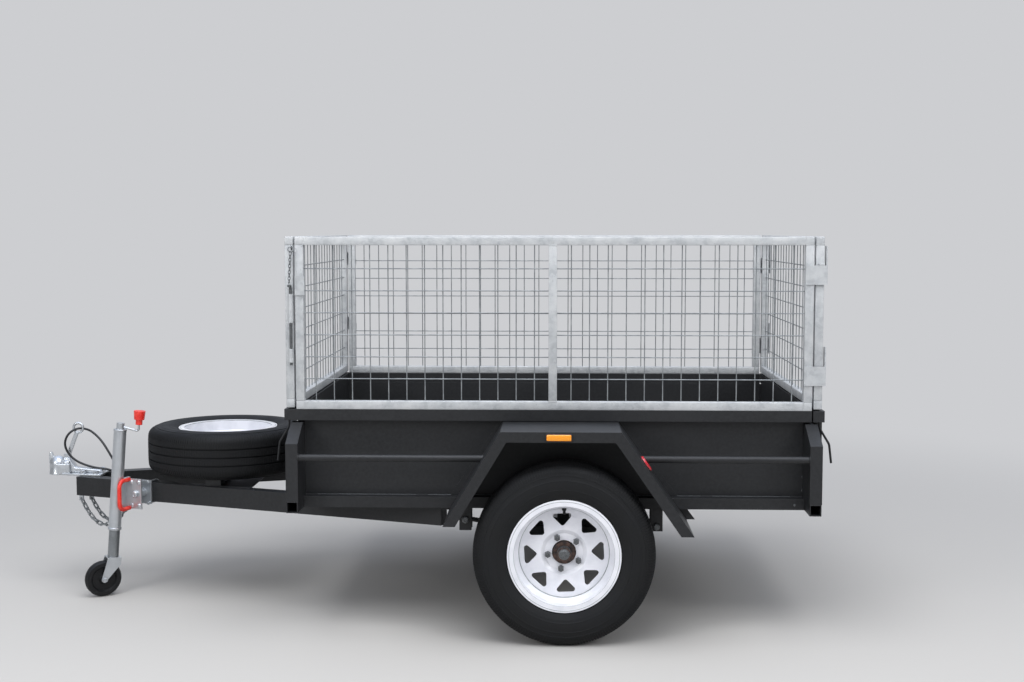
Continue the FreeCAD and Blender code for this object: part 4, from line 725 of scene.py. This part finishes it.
def mesh_wires(name, low, high, upright_side):
    """Round welded wires inside a frame: uprights on one face, level wires against their other face."""
    flat = 0 if high.x - low.x > high.y - low.y else 1
    middle = (low + high) / 2
    half = (high[flat] - low[flat]) / 2 - CAGE_TUBE
    reach = math.floor(half / WIRE_PITCH)
    bottom, top = low.z + CAGE_TUBE, high.z - CAGE_TUBE
    runs = [(-upright_side, (number * WIRE_PITCH, bottom - TUBE_EDGE), (number * WIRE_PITCH, top + TUBE_EDGE))
            for number in range(-reach, reach + 1)]
    for number in range(WIRES_UP):
        height = bottom + WIRE_PITCH_UP * (number + 1)
        runs.append((upright_side, (-half - TUBE_EDGE, height), (half + TUBE_EDGE, height)))

    def at(side, across, height):
        place = Vector((*middle.xy, height))
        place[flat] += across
        place[1 - flat] += side * WIRE_RADIUS
        return place

    wires = [bar(name, at(side, *start), at(side, *end), WIRE_RADIUS) for side, start, end in runs]
    return joined(name, wires)


def door_barrels(inner):
    """The front gate's hinge barrels, each on a leaf that reaches in to the gate."""
    x, y = DOOR_HINGE
    barrels = []
    for foot in DOOR_BARREL_LOWS:
        head = foot + DOOR_BARREL_LENGTH
        barrels.append(sleeve("door_barrel", foot, head, DOOR_PIN, DOOR_BARREL, 0.001, (x, y, 0)))
        barrels.append(boxed("door_leaf", (inner, GATE_HALF, foot),
                             (x - DOOR_PIN - DOOR_LEAF_BACK, y, head), 0.001))
    return barrels


def seam(start, reach):
    """A ground weld where two tubes butt."""
    return bead("seam", start, start + Vector(reach), SEAM_RADIUS)


def butt_seams(low, high, flat, face):
    """Ground welds on one face of a panel, where its posts stand on its rails."""
    seams = []
    for height in (low.z, high.z - CAGE_TUBE):
        for across in (low[flat] + CAGE_TUBE, high[flat] - CAGE_TUBE):
            start = Vector((face, face, height))
            start[flat] = across
            seams.append(seam(start, (0, 0, CAGE_TUBE)))
    return seams


def cage():
    """Cage panels of round-edged tube, welded wire and ground seams, with the gates' lugs and barrels."""
    half = CAGE_TUBE / 2
    for word in ("left", "right"):
        low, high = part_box(f"cage_side_{word}")
        middle, outward = (low.x + high.x) / 2, math.copysign(1, low.y)
        tubes = frame_of_tube("side_tube", low, high, (low.x + half, middle, high.x - half))
        piece = dress(joined(f"cage_frame_{word}", tubes), "frame", GALVANISED)
        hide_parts(f"cage_side_{word}")
        dress(mesh_wires(f"cage_wires_{word}", low, high, outward), "frame", WIRE)
        face = low.y if outward < 0 else high.y
        seams = butt_seams(low, high, 0, face)
        seams += [seam(Vector((middle - half, face, z)), (CAGE_TUBE, 0, 0))
                  for z in (low.z + CAGE_TUBE, high.z - CAGE_TUBE)]
        dress(joined(f"cage_seams_{word}", seams), "frame", GALVANISED)
    for word, body in (("front", "front_gate"), ("rear", "rear_gate")):
        low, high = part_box(f"cage_gate_{word}")
        low, high = Vector((low.x, -GATE_HALF, low.z)), Vector((low.x + CAGE_TUBE, GATE_HALF, high.z))
        tubes = frame_of_tube("gate_tube", low, high, (half - GATE_HALF, GATE_HALF - half))
        if word == "front":
            tubes += door_barrels(low.x)
        else:
            tubes += [boxed("gate_lug", (high.x - LUG_LENGTH, side * GATE_HALF, LUG_LOW),
                            (high.x, side * (GATE_HALF + LUG_OUT), LUG_LOW + LUG_WALL), 0.0008)
                      for side in (-1, 1)]
        piece = dress(joined(f"gate_frame_{word}", tubes), body, GALVANISED)
        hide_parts(f"cage_gate_{word}")
        dress(mesh_wires(f"gate_wires_{word}", low, high, 1), body, WIRE)
        seams = butt_seams(low, high, 1, low.x if word == "front" else high.x)
        dress(joined(f"cage_gate_{word}_seams", seams), body, GALVANISED)


def gate_bolt():
    """The front gate's bolt: a bent round bar in two welded sleeves."""
    x, y = BOLT_PLACE
    path = [(x, y, BOLT_LOW), (x, y, BOLT_HIGH), (x, y - BOLT_HANDLE, BOLT_HIGH)]
    piece = dress(rod("bolt_bar", path, BOLT_RADIUS, 0.011), "front_gate", DULL_STEEL)
    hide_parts("gate_latch")
    sleeves = []
    for foot, head in SLEEVE_SPANS:
        sleeves.append(sleeve("sleeve", foot, head, BOLT_RADIUS + 0.0006, SLEEVE_RADIUS, 0.0006, (x, y, 0)))
        for side in (-1, 1):
            for start in (foot + 0.002, head - SLEEVE_WELD - 0.002):
                seam_x, seam_y = x + side * SLEEVE_RADIUS * 0.72, -GATE_HALF - 0.001
                sleeves.append(bead("sleeve_weld", (seam_x, seam_y, start),
                                    (seam_x, seam_y, start + SLEEVE_WELD), 0.0024))
    dress(joined("gate_bolt_sleeves", sleeves), "front_gate", GALVANISED)


def coupling_shell():
    """The coupling: a domed socket with a rolled lip, a pressed neck, its plate, and a nose catch."""
    angles = [math.pi / 2 * step / DOME_STEPS for step in range(DOME_STEPS + 1)]
    inside, outside = [[(SOCKET_SHOULDER + radius * math.cos(angle), radius * math.sin(angle))
                        for angle in angles] for radius in (SOCKET_HOLE, HEAD_RADIUS)]
    lip = [(PLATE_LOW, SOCKET_HOLE), (PLATE_LOW, HEAD_LIP - 0.0015), (PLATE_LOW + 0.0015, HEAD_LIP),
           (PLATE_LOW + 0.0065, HEAD_LIP), (PLATE_LOW + 0.009, HEAD_RADIUS)]
    head = turned("socket_head", inside + lip + outside[::-1], 64, Matrix.Translation((SOCKET_X, 0, 0)))
    saddle = boxed("head_saddle", (SOCKET_X + SOCKET_HOLE, 0.003 - HEAD_RADIUS, PLATE_LOW + 0.004),
                   (SADDLE_BACK, HEAD_RADIUS - 0.003, SADDLE_TOP), 0.012, 5)
    cheeks = [boxed("head_cheek", (SOCKET_X, side * CHEEK_IN, CHEEK_LOW),
                    (SADDLE_BACK, side * CHEEK_OUT, CHEEK_TOP), 0.003) for side in (-1, 1)]
    (front, narrow), (back, wide) = PLATE_OUTLINE
    corners = [(front, -narrow), (back, -wide), (back, wide), (front, narrow)]
    plate = slab("coupling_plate", [(x, y, PLATE_LOW) for x, y in corners],
                 (0, 0, COUPLING_PLATE_TOP - PLATE_LOW), 0.0015)
    neck = slab("coupling_neck", [(x, -NECK_HALF, z) for x, z in NECK_OUTLINE], (0, 2 * NECK_HALF, 0), 0.005)
    nose = slab("nose_catch", [(x, -NOSE_HALF, z) for x, z in NOSE_OUTLINE], (0, 2 * NOSE_HALF, 0), 0.0018)
    piece = dress(joined("coupling_shell", [head, saddle, plate, neck, nose] + cheeks), "frame", ZINC)
    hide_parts("coupling_body")


def drawbar_caps():
    """Plates that close the drawbar's rear ends."""
    x, y, z = DRAWBAR_END
    caps = []
    for side in (-1, 1):
        cap = boxed("drawbar_cap", -CAP_PLATE_HALF, CAP_PLATE_HALF, 0.0008)
        turn = Matrix.Rotation(side * DRAWBAR_ANGLE, 4, "Z")
        cap.data.transform(Matrix.Translation((x, side * y, z)) @ turn)
        caps.append(cap)
    dress(joined("drawbar_end_caps", caps), "frame", PAINT)


def rim_rings():
    """The rolled lip, seat edge and disc seam of each rim."""
    for node, body, word in (("rim_left", "wheel_left", "left"), ("rim_right", "wheel_right", "right"),
                             ("spare_rim", "frame", "spare")):
        centre = middle_of(node)
        outward = Vector((0, 0, 1) if word == "spare" else (0, math.copysign(1, centre.y), 0))
        lips = [ring("rim_lip", centre + outward * way * (RIM_HALF - RIM_LIP_ROUND), outward,
                     RIM_LIP_RADIUS, RIM_LIP_ROUND) for way in (-1, 1)]
        dress(joined(f"rim_lips_{word}", lips), body, ENAMEL)
        seams = [ring("rim_seam", centre + outward * out, outward, radius, thickness)
                 for out, radius, thickness in RIM_SEAMS]
        # The seams' grey is road dust together with painted shade in the joints
        dress(joined(f"rim_seams_{word}", seams), body, DUST_AND_SHADE_SEAM)


def small_nuts():
    """The nut that holds the spare wheel on its stud, and small bolt heads at the tray's rear corners."""
    stud = Vector((middle_of("spare_carrier").x, 0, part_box("spare_carrier")[1].z - SPARE_STUD))
    nuts("spare_nut", "frame", ZINC, SPARE_NUT, [(stud, (0, 0, 1))])
    places = [((x, side * y, z), (0, side, 0)) for x, y, z in CORNER_BOLTS for side in (-1, 1)]
    nuts("corner_bolts", "frame", DULL_STEEL, M5_NUT, places)


def nuts(name, body, material, size, places):
    """A set of like nuts on one body: each place is a point and the direction the nut faces."""
    model = hex_nut(name + "_model", *size)
    piece = scattered(name, model, [facing(place, direction) for place, direction in places])
    return dress(piece, body, material)


def rod(name, points, radius, bend):
    """A round rod bent through points."""
    piece = drawn(name, [Vector(point) for point in points])
    bpy.ops.mesh.bevel(affect="VERTICES", offset=bend, segments=6)
    bpy.ops.object.mode_set(mode="OBJECT")
    bpy.ops.object.convert(target="CURVE")
    piece.data.bevel_depth = radius
    piece.data.bevel_resolution = 3
    piece.data.use_fill_caps = True
    bpy.ops.object.convert(target="MESH")
    bpy.ops.object.mode_set(mode="EDIT")
    close_up()
    return bpy.context.object


def bead(name, start, end, radius):
    """A rippled weld bead from one point to another."""
    run = Vector(end) - Vector(start)
    ripples = max(3, round(run.length / RIPPLE))
    step = run.length / ripples
    outline = [(0, 0)]
    for ripple in range(ripples):
        outline += [(step * (ripple + 0.15), radius * 0.82), (step * (ripple + 0.6), radius)]
    return turned(name, outline + [(run.length, 0)], 8, facing(start, run))


def painted_welds():
    """Stitch welds under the side panels, and rings where the tie rails meet the posts and mudguards."""
    low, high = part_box("side_panel_left")
    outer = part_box("side_panel_right")[1].y
    rail_low, rail_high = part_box("tie_rails")
    radius = (rail_high.z - rail_low.z) / 2
    beads, edges = [], []
    for side in (-1, 1):
        for middle in STITCH_PLACES:
            beads.append(bead("stitch", (middle - STITCH_HALF, side * outer, low.z),
                              (middle + STITCH_HALF, side * outer, low.z), STITCH_RADIUS))
        edges.append(bar("sheet_edge", (low.x + 0.004, side * outer, low.z + 0.0005),
                         (high.x - 0.004, side * outer, low.z + 0.0005), 0.0013))
        for x in (low.x - 0.001, high.x):
            beads.append(bead("corner_seam", (x, side * outer, low.z + 0.02), (x, side * outer, low.z + 0.08),
                              STITCH_RADIUS * 0.8))
        for x in (rail_low.x, rail_high.x):
            place = (x, side * (rail_high.y - radius), rail_low.z + radius)
            beads.append(ring("rail_weld", place, (1, 0, 0), radius + 0.0012, STITCH_RADIUS * 0.8, 40))
    dress(joined("painted_welds", beads), "frame", PAINT)
    dress(joined("sheet_edges", edges), "frame", DULL_STEEL)


def under_gear():
    """Nuts of the axle clamps and of the spring hangers."""
    low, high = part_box("axle_clamps")
    places = [((x, side * y, low.z), (0, 0, -1)) for side in (-1, 1)
              for x in (low.x + CLAMP_ROD_INSET, high.x - CLAMP_ROD_INSET)
              for y in (high.y - CLAMP_ROD_INSET, high.y - CLAMP_ROD_INSET - CLAMP_ROD_SPAN)]
    nuts("axle_clamp_nuts", "frame", DULL_STEEL, CLAMP_NUT, places)
    low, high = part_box("spring_hangers")
    eyes = ((low.x + HANGER_HALF, FRONT_EYE_HEIGHT), (high.x - HANGER_HALF, REAR_EYE_HEIGHT))
    places = [((x, side * out, height), (0, side * way, 0)) for x, height in eyes
              for side in (-1, 1) for out, way in ((high.y, 1), (HANGER_INNER, -1))]
    nuts("spring_bolt_nuts", "frame", DULL_STEEL, EYE_NUT, places)


def coupling_hardware():
    """Bolts that hold the coupling's plate, with their washers."""
    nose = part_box("coupling_body")[0].x
    places = [((nose + back, side * across, COUPLING_PLATE_TOP + WASHER), (0, 0, 1))
              for back, across in COUPLING_BOLTS for side in (-1, 1)]
    nuts("coupling_bolts", "frame", ZINC, M12_NUT, places)
    outline = [(-WASHER, 0.0075), (-WASHER, 0.0135), (0.0003, 0.0135), (0.0006, 0.013), (0.0006, 0.0075)]
    washers = [turned("washer", outline, 24, facing(place, direction)) for place, direction in places]
    dress(joined("coupling_washers", washers), "frame", ZINC)


def joint(name):
    """A joint's anchor and axis, in the model's frame."""
    found = next(item for item in frame["joints"] if item["name"] == name)
    return Vector(found["pos_m"]), Vector(found["axis"]).normalized()


def jockey_hardware():
    """Collars, nuts, clamp bolts and pressed bosses of the jockey wheel and its bracket."""
    foot, up = joint("jockey_castor_turn")
    inside = TUBE_RADIUS - 0.0002
    lower = [(TUBE_FOOT - 0.0015, 0.0215), (TUBE_FOOT - 0.0015, 0.0256), (TUBE_FOOT + 0.001, 0.0262),
             (TUBE_FOOT + 0.006, 0.0262), (TUBE_FOOT + 0.008, inside)]
    upper = [(TUBE_HEAD - 0.007, inside), (TUBE_HEAD - 0.005, 0.0252), (TUBE_HEAD + 0.0005, 0.0252),
             (TUBE_HEAD + 0.002, 0.0240), (TUBE_HEAD + 0.002, 0.0160), (TUBE_HEAD + 0.0005, 0.0150)]
    collars = [turned("tube_collar", outline, 48, facing(foot, up)) for outline in (lower, upper)]
    dress(joined("jockey_tube_collars", collars), "jockey_stand", ZINC)

    hub, axle = joint("jockey_wheel_spin")
    nuts("castor_axle_nuts", "jockey_castor", ZINC, M10_NUT,
         [(hub + axle * FORK_FACE, axle), (hub - axle * FORK_FACE, -axle)])

    pivot, outward = joint("jockey_swing")
    outward = outward if outward.y < 0 else -outward
    forward = Vector((outward.y, -outward.x, 0)).normalized()
    plate = pivot - outward * PLATE_FACE
    nuts("jockey_pivot_nut", "frame", ZINC, M16_NUT, [(plate, outward)])
    dome = [(-0.001, 0.010), (0.0012, 0.0085), (0.0030, 0.006), (0.0036, 0.003), (0.0037, 0)]
    bosses = [turned("boss", dome, 24, facing(plate + forward * along + Vector((0, 0, height)), outward))
              for along in BOSS_ALONG for height in (-BOSS_HEIGHT, BOSS_HEIGHT)]
    dress(joined("swivel_bosses", bosses), "jockey_stand", ZINC)

    rise = Vector((0, 0, RAIL_HALF_HEIGHT + CLAMP_BOLT_RADIUS + 0.0005))
    bolts, places = [], []
    for along in CLAMP_BOLTS:
        rail = pivot - outward * RAIL_FACE + forward * along
        out = rail + outward * (BRACKET_WALL + 0.012)
        back = rail - outward * (RAIL_WIDTH + CLAMP_BOLT_RADIUS + 0.001)
        path = [out + rise, back + rise, back - rise, out - rise]
        bolts.append(rod("clamp_bolt", path, CLAMP_BOLT_RADIUS, 0.008))
        places += [(rail + outward * BRACKET_WALL + level, outward) for level in (rise, -rise)]
    dress(joined("rail_clamp_bolts", bolts), "frame", ZINC)
    nuts("rail_clamp_nuts", "frame", ZINC, M8_NUT, places)


def bolt_chain():
    """The small chain that keeps the front gate's bolt, from an eye on the gate."""
    top, foot = Vector(BOLT_CHAIN_TOP), Vector(BOLT_CHAIN_FOOT)
    count = round((top - foot).length / BOLT_CHAIN_LINK)
    hang = (foot - top).to_track_quat("Y", "Z").to_matrix().to_4x4()
    links = []
    for number in range(count):
        link = ring("link", (0, 0, 0), (0, 0, 1), 0.0045, 0.0012, 16)
        place = Matrix.Translation(top.lerp(foot, (number + 0.5) / count))
        twist = Matrix.Rotation(math.pi / 2 * (number % 2), 4, "Y")
        link.data.transform(place @ hang @ twist @ Matrix.Diagonal((1, 1.55, 1, 1)))
        links.append(link)
    hook = Vector((top.x + 0.002, -GATE_HALF - 0.005, top.z + 0.014))
    eyes = [ring("chain_ring", top + Vector((0.002, -0.001, 0.009)), (0.3, -0.8, 0.6), 0.0105, 0.0019, 32),
            ring("chain_eye", hook, (1, 0, 0), 0.006, 0.0019, 24)]
    dress(joined("gate_bolt_chain", links + eyes), "front_gate", DULL_STEEL)


def drawbar_plate():
    """A flat sheet welded on the drawbar rails, under the rear half of the spare."""
    middle, level = middle_of("spare_tyre").x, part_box("drawbar_rail_left")[1].z - 0.0005
    (front, narrow), (back, wide) = [(x, DRAWBAR_END[1] - (DRAWBAR_END[0] - x) * math.tan(DRAWBAR_ANGLE))
                                     for x in (middle + PLATE_FRONT, middle + PLATE_BACK)]
    corners = [(front, -narrow, level), (back, -wide, level), (back, wide, level), (front, narrow, level)]
    dress(slab("drawbar_plate", corners, (0, 0, PLATE_SHEET), 0.001), "frame", PAINT)


def lamp_of(name, low, high, axis, way, reach):
    """A moulded black base with a raised rounded lens and two screws, facing one way along an axis."""
    back, face = (low, high) if way > 0 else (high, low)
    base_face, inset, outward = face.copy(), Vector([LENS_INSET] * 3), Vector((0, 0, 0))
    base_face[axis] = back[axis] + (face[axis] - back[axis]) * LAMP_BASE_SHARE
    inset[axis], outward[axis] = 0, way
    base = boxed(name + "_base", back, base_face, 0.0015)
    glass = boxed(name + "_lens", low + inset, high - inset, 0.004, 4)
    heads = []
    for place in (-reach, reach):
        point = (low + high) / 2
        point[axis] = face[axis] - way * 0.0012
        point[1 - axis] += place
        heads.append(turned(name + "_screw", SCREW_HEAD, 16, facing(point, outward)))
    return base, glass, heads


def lamps():
    """Side markers, tail lamps and round reflectors, each lens on its base."""
    bases, ambers, reds, heads = [], [], [], []
    for node, axis, width, reach, lenses in (("side_markers", 1, MARKER_DEPTH, MARKER_SCREW, ambers),
                                             ("tail_lamps", 0, TAIL_LAMP_WIDTH, TAIL_LAMP_SCREW, reds)):
        low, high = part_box(node)
        for side in (-1, 1):
            near, far = low.copy(), high.copy()
            near.y, far.y = (low.y, low.y + width) if side < 0 else (high.y - width, high.y)
            base, glass, screws = lamp_of(node, near, far, axis, side if axis else 1, reach)
            bases.append(base)
            lenses.append(glass)
            heads += screws
    x, y, z = REFLECTOR_PLACE
    bezel = [(0, REFLECTOR_RADIUS), (0.0020, REFLECTOR_RADIUS), (0.0025, REFLECTOR_RADIUS - 0.001),
             (0.0025, REFLECTOR_RADIUS - 0.003), (0.001, REFLECTOR_RADIUS - 0.0035)]
    prism = [(0, REFLECTOR_RADIUS - 0.001), (REFLECTOR_DEPTH * 0.8, REFLECTOR_RADIUS - 0.0015),
             (REFLECTOR_DEPTH, REFLECTOR_RADIUS - 0.004), (REFLECTOR_DEPTH, 0)]
    for side in (-1, 1):
        at = facing((x, side * y, z), REFLECTOR_FACING)
        bases.append(turned("bezel", bezel, 48, at))
        reds.append(turned("prism", prism, 48, at))
    amber = dress(joined("side_marker_lenses", ambers), "frame", AMBER)
    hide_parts("side_markers")
    red = dress(joined("red_lenses", reds), "frame", RED_LENS)
    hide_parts("tail_lamps", "side_reflectors")
    dress(joined("lamp_bases", bases), "frame", BLACK_PLASTIC)
    dress(joined("lamp_screws", heads), "frame", ZINC)


def trailer_plug():
    """A round moulded plug: ribbed strain relief, smooth barrel and a chamfered end."""
    outline = [(0, 0.0045), (0, 0.0072)]
    for rib in range(4):
        start = 0.002 + rib * 0.004
        grow = 0.0078 + rib * 0.0013
        outline += [(start, grow), (start + 0.002, grow), (start + 0.0026, grow - 0.0008),
                    (start + 0.0036, grow - 0.0004)]
    outline += [(0.0185, 0.0132), (0.0205, 0.0139), (0.050, 0.0139), (0.0515, 0.0128), (0.060, 0.0128),
                (0.062, 0.0118), (0.062, 0.0108), (0.058, 0.0104), (0.058, 0)]
    plug = turned("trailer_plug_moulding", outline, 40, facing(PLUG_PLACE, PLUG_AXIS))
    dress(plug, "frame", BLACK_PLASTIC)
    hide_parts("trailer_plug")
    return plug


def wiring_cable(plug):
    """The trailer's wiring cable, from the drawbar up through the lever's ring and back to its plug."""
    data = bpy.data.curves.new("wiring_cable_run", "CURVE")
    data.dimensions = "3D"
    data.bevel_depth = CABLE_RADIUS
    data.bevel_resolution = 4
    data.resolution_u = 12
    data.use_fill_caps = True
    spline = data.splines.new("NURBS")
    spline.points.add(len(CABLE_ROUTE) - 1)
    for point, place in zip(spline.points, CABLE_ROUTE):
        point.co = (*place, 1)
    spline.order_u = 3
    spline.use_endpoint_u = True
    cable = bpy.data.objects.new("wiring_cable_run", data)
    bpy.context.collection.objects.link(cable)
    data.materials.append(CABLE_SHEATH)
    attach(cable, "frame")
    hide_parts("wiring_cable")


def camera():
    """The photograph's view."""
    data = bpy.data.cameras.new("camera")
    data.lens = LENS
    data.sensor_width = SENSOR
    data.clip_end = 100
    eye = bpy.data.objects.new("camera", data)
    bpy.context.collection.objects.link(eye)
    eye.location = CAMERA_PLACE
    eye.rotation_euler = (math.pi / 2 - CAMERA_DIP, 0, CAMERA_TURN)
    bpy.context.scene.camera = eye


def lamp(name, place, aim, width, power):
    """A square soft box aimed at a point."""
    data = bpy.data.lights.new(name, "AREA")
    data.size = width
    data.energy = power
    box = bpy.data.objects.new(name, data)
    bpy.context.collection.objects.link(box)
    box.location = place
    box.rotation_euler = (Vector(aim) - Vector(place)).to_track_quat("-Z", "Y").to_euler()


def studio():
    """A pale floor under a plain pale sky, three soft boxes, and a dark flag at each end for the metal."""
    floor_material, tree, shader, where = finish_named("pale_floor")
    feed(tree, shader, {"Base Color": linear("#BDBBB8"), "Roughness": 0.9})
    reach = add(tree, "VectorMath", {0: where}, operation="LENGTH")
    far = add(tree, "MapRange", {0: reach.outputs["Value"], 1: FLOOR_NEAR, 2: FLOOR_FAR},
              interpolation_type="SMOOTHSTEP")
    melted = add(tree, "Emission", {"Color": linear(BACKDROP)})
    blend = add(tree, "MixShader", {0: far.outputs[0], 1: shader.outputs[0], 2: melted.outputs[0]})
    feed(tree, tree.nodes["Material Output"], {"Surface": blend.outputs[0]})
    bpy.ops.mesh.primitive_circle_add(vertices=64, radius=40, fill_type="NGON")
    floor = bpy.context.object
    floor.name = "studio_floor"
    floor.data.materials.append(floor_material)
    world = bpy.data.worlds.new("studio")
    bpy.context.scene.world = world
    world.use_nodes = True
    tree = world.node_tree
    tree.nodes.clear()
    path = add(tree, "LightPath")
    camera_ray, glossy_ray = path.outputs["Is Camera Ray"], path.outputs["Is Glossy Ray"]
    seen = add(tree, "Math", {0: camera_ray, 1: glossy_ray}, operation="MAXIMUM")
    seen = add(tree, "Math", {0: seen.outputs[0], 1: path.outputs["Is Transmission Ray"]},
               operation="MAXIMUM")
    ray = add(tree, "SeparateXYZ", {0: add(tree, "TexCoord").outputs["Generated"]})
    height = ray.outputs[2]
    aside = add(tree, "Math", {0: ray.outputs[0]}, operation="ABSOLUTE").outputs[0]
    open_sky = ranged(tree, height, 0.3, 0.8, 1, 1.5)
    flagged = add(tree, "Math", {0: open_sky, 1: ranged(tree, aside, *FLAG_EDGE, 1, FLAG_SHADE)},
                  operation="MULTIPLY").outputs[0]
    light = add(tree, "Background", {
        "Color": two_tone(tree, height, 0, 0.9, "#B6B6B7", "#EAF0FC"), "Strength": SKY_LIGHT})
    shown = add(tree, "Background", {
        "Color": two_tone(tree, height, 0.25, 0.8, BACKDROP, "#D9E6FF"),
        "Strength": ranged(tree, glossy_ray, 0, 1, open_sky, flagged)})
    mixed = add(tree, "MixShader", {0: seen.outputs[0], 1: light.outputs[0], 2: shown.outputs[0]})
    add(tree, "OutputWorld", {"Surface": mixed.outputs[0]})
    lamp("soft_box_over", (0.4, -2.0, 5.0), (0.2, 0, 0.5), 4.5, 210)
    lamp("soft_box_left", (-3.5, -4.5, 2.6), (-0.2, 0, 0.6), 1.5, 72)
    lamp("soft_box_right", (4.2, -3.8, 3.0), (0.4, 0, 0.6), 1.5, 62)
    bpy.context.scene.view_settings.view_transform = "Standard"


camera()
studio()
dress_nodes()
wiring_cable(trailer_plug())
tyres()
wheel_hardware()
rim_rings()
cage()
gate_bolt()
coupling_shell()
drawbar_caps()
small_nuts()
drawbar_plate()
lamps()
painted_welds()
under_gear()
coupling_hardware()
jockey_hardware()
bolt_chain()
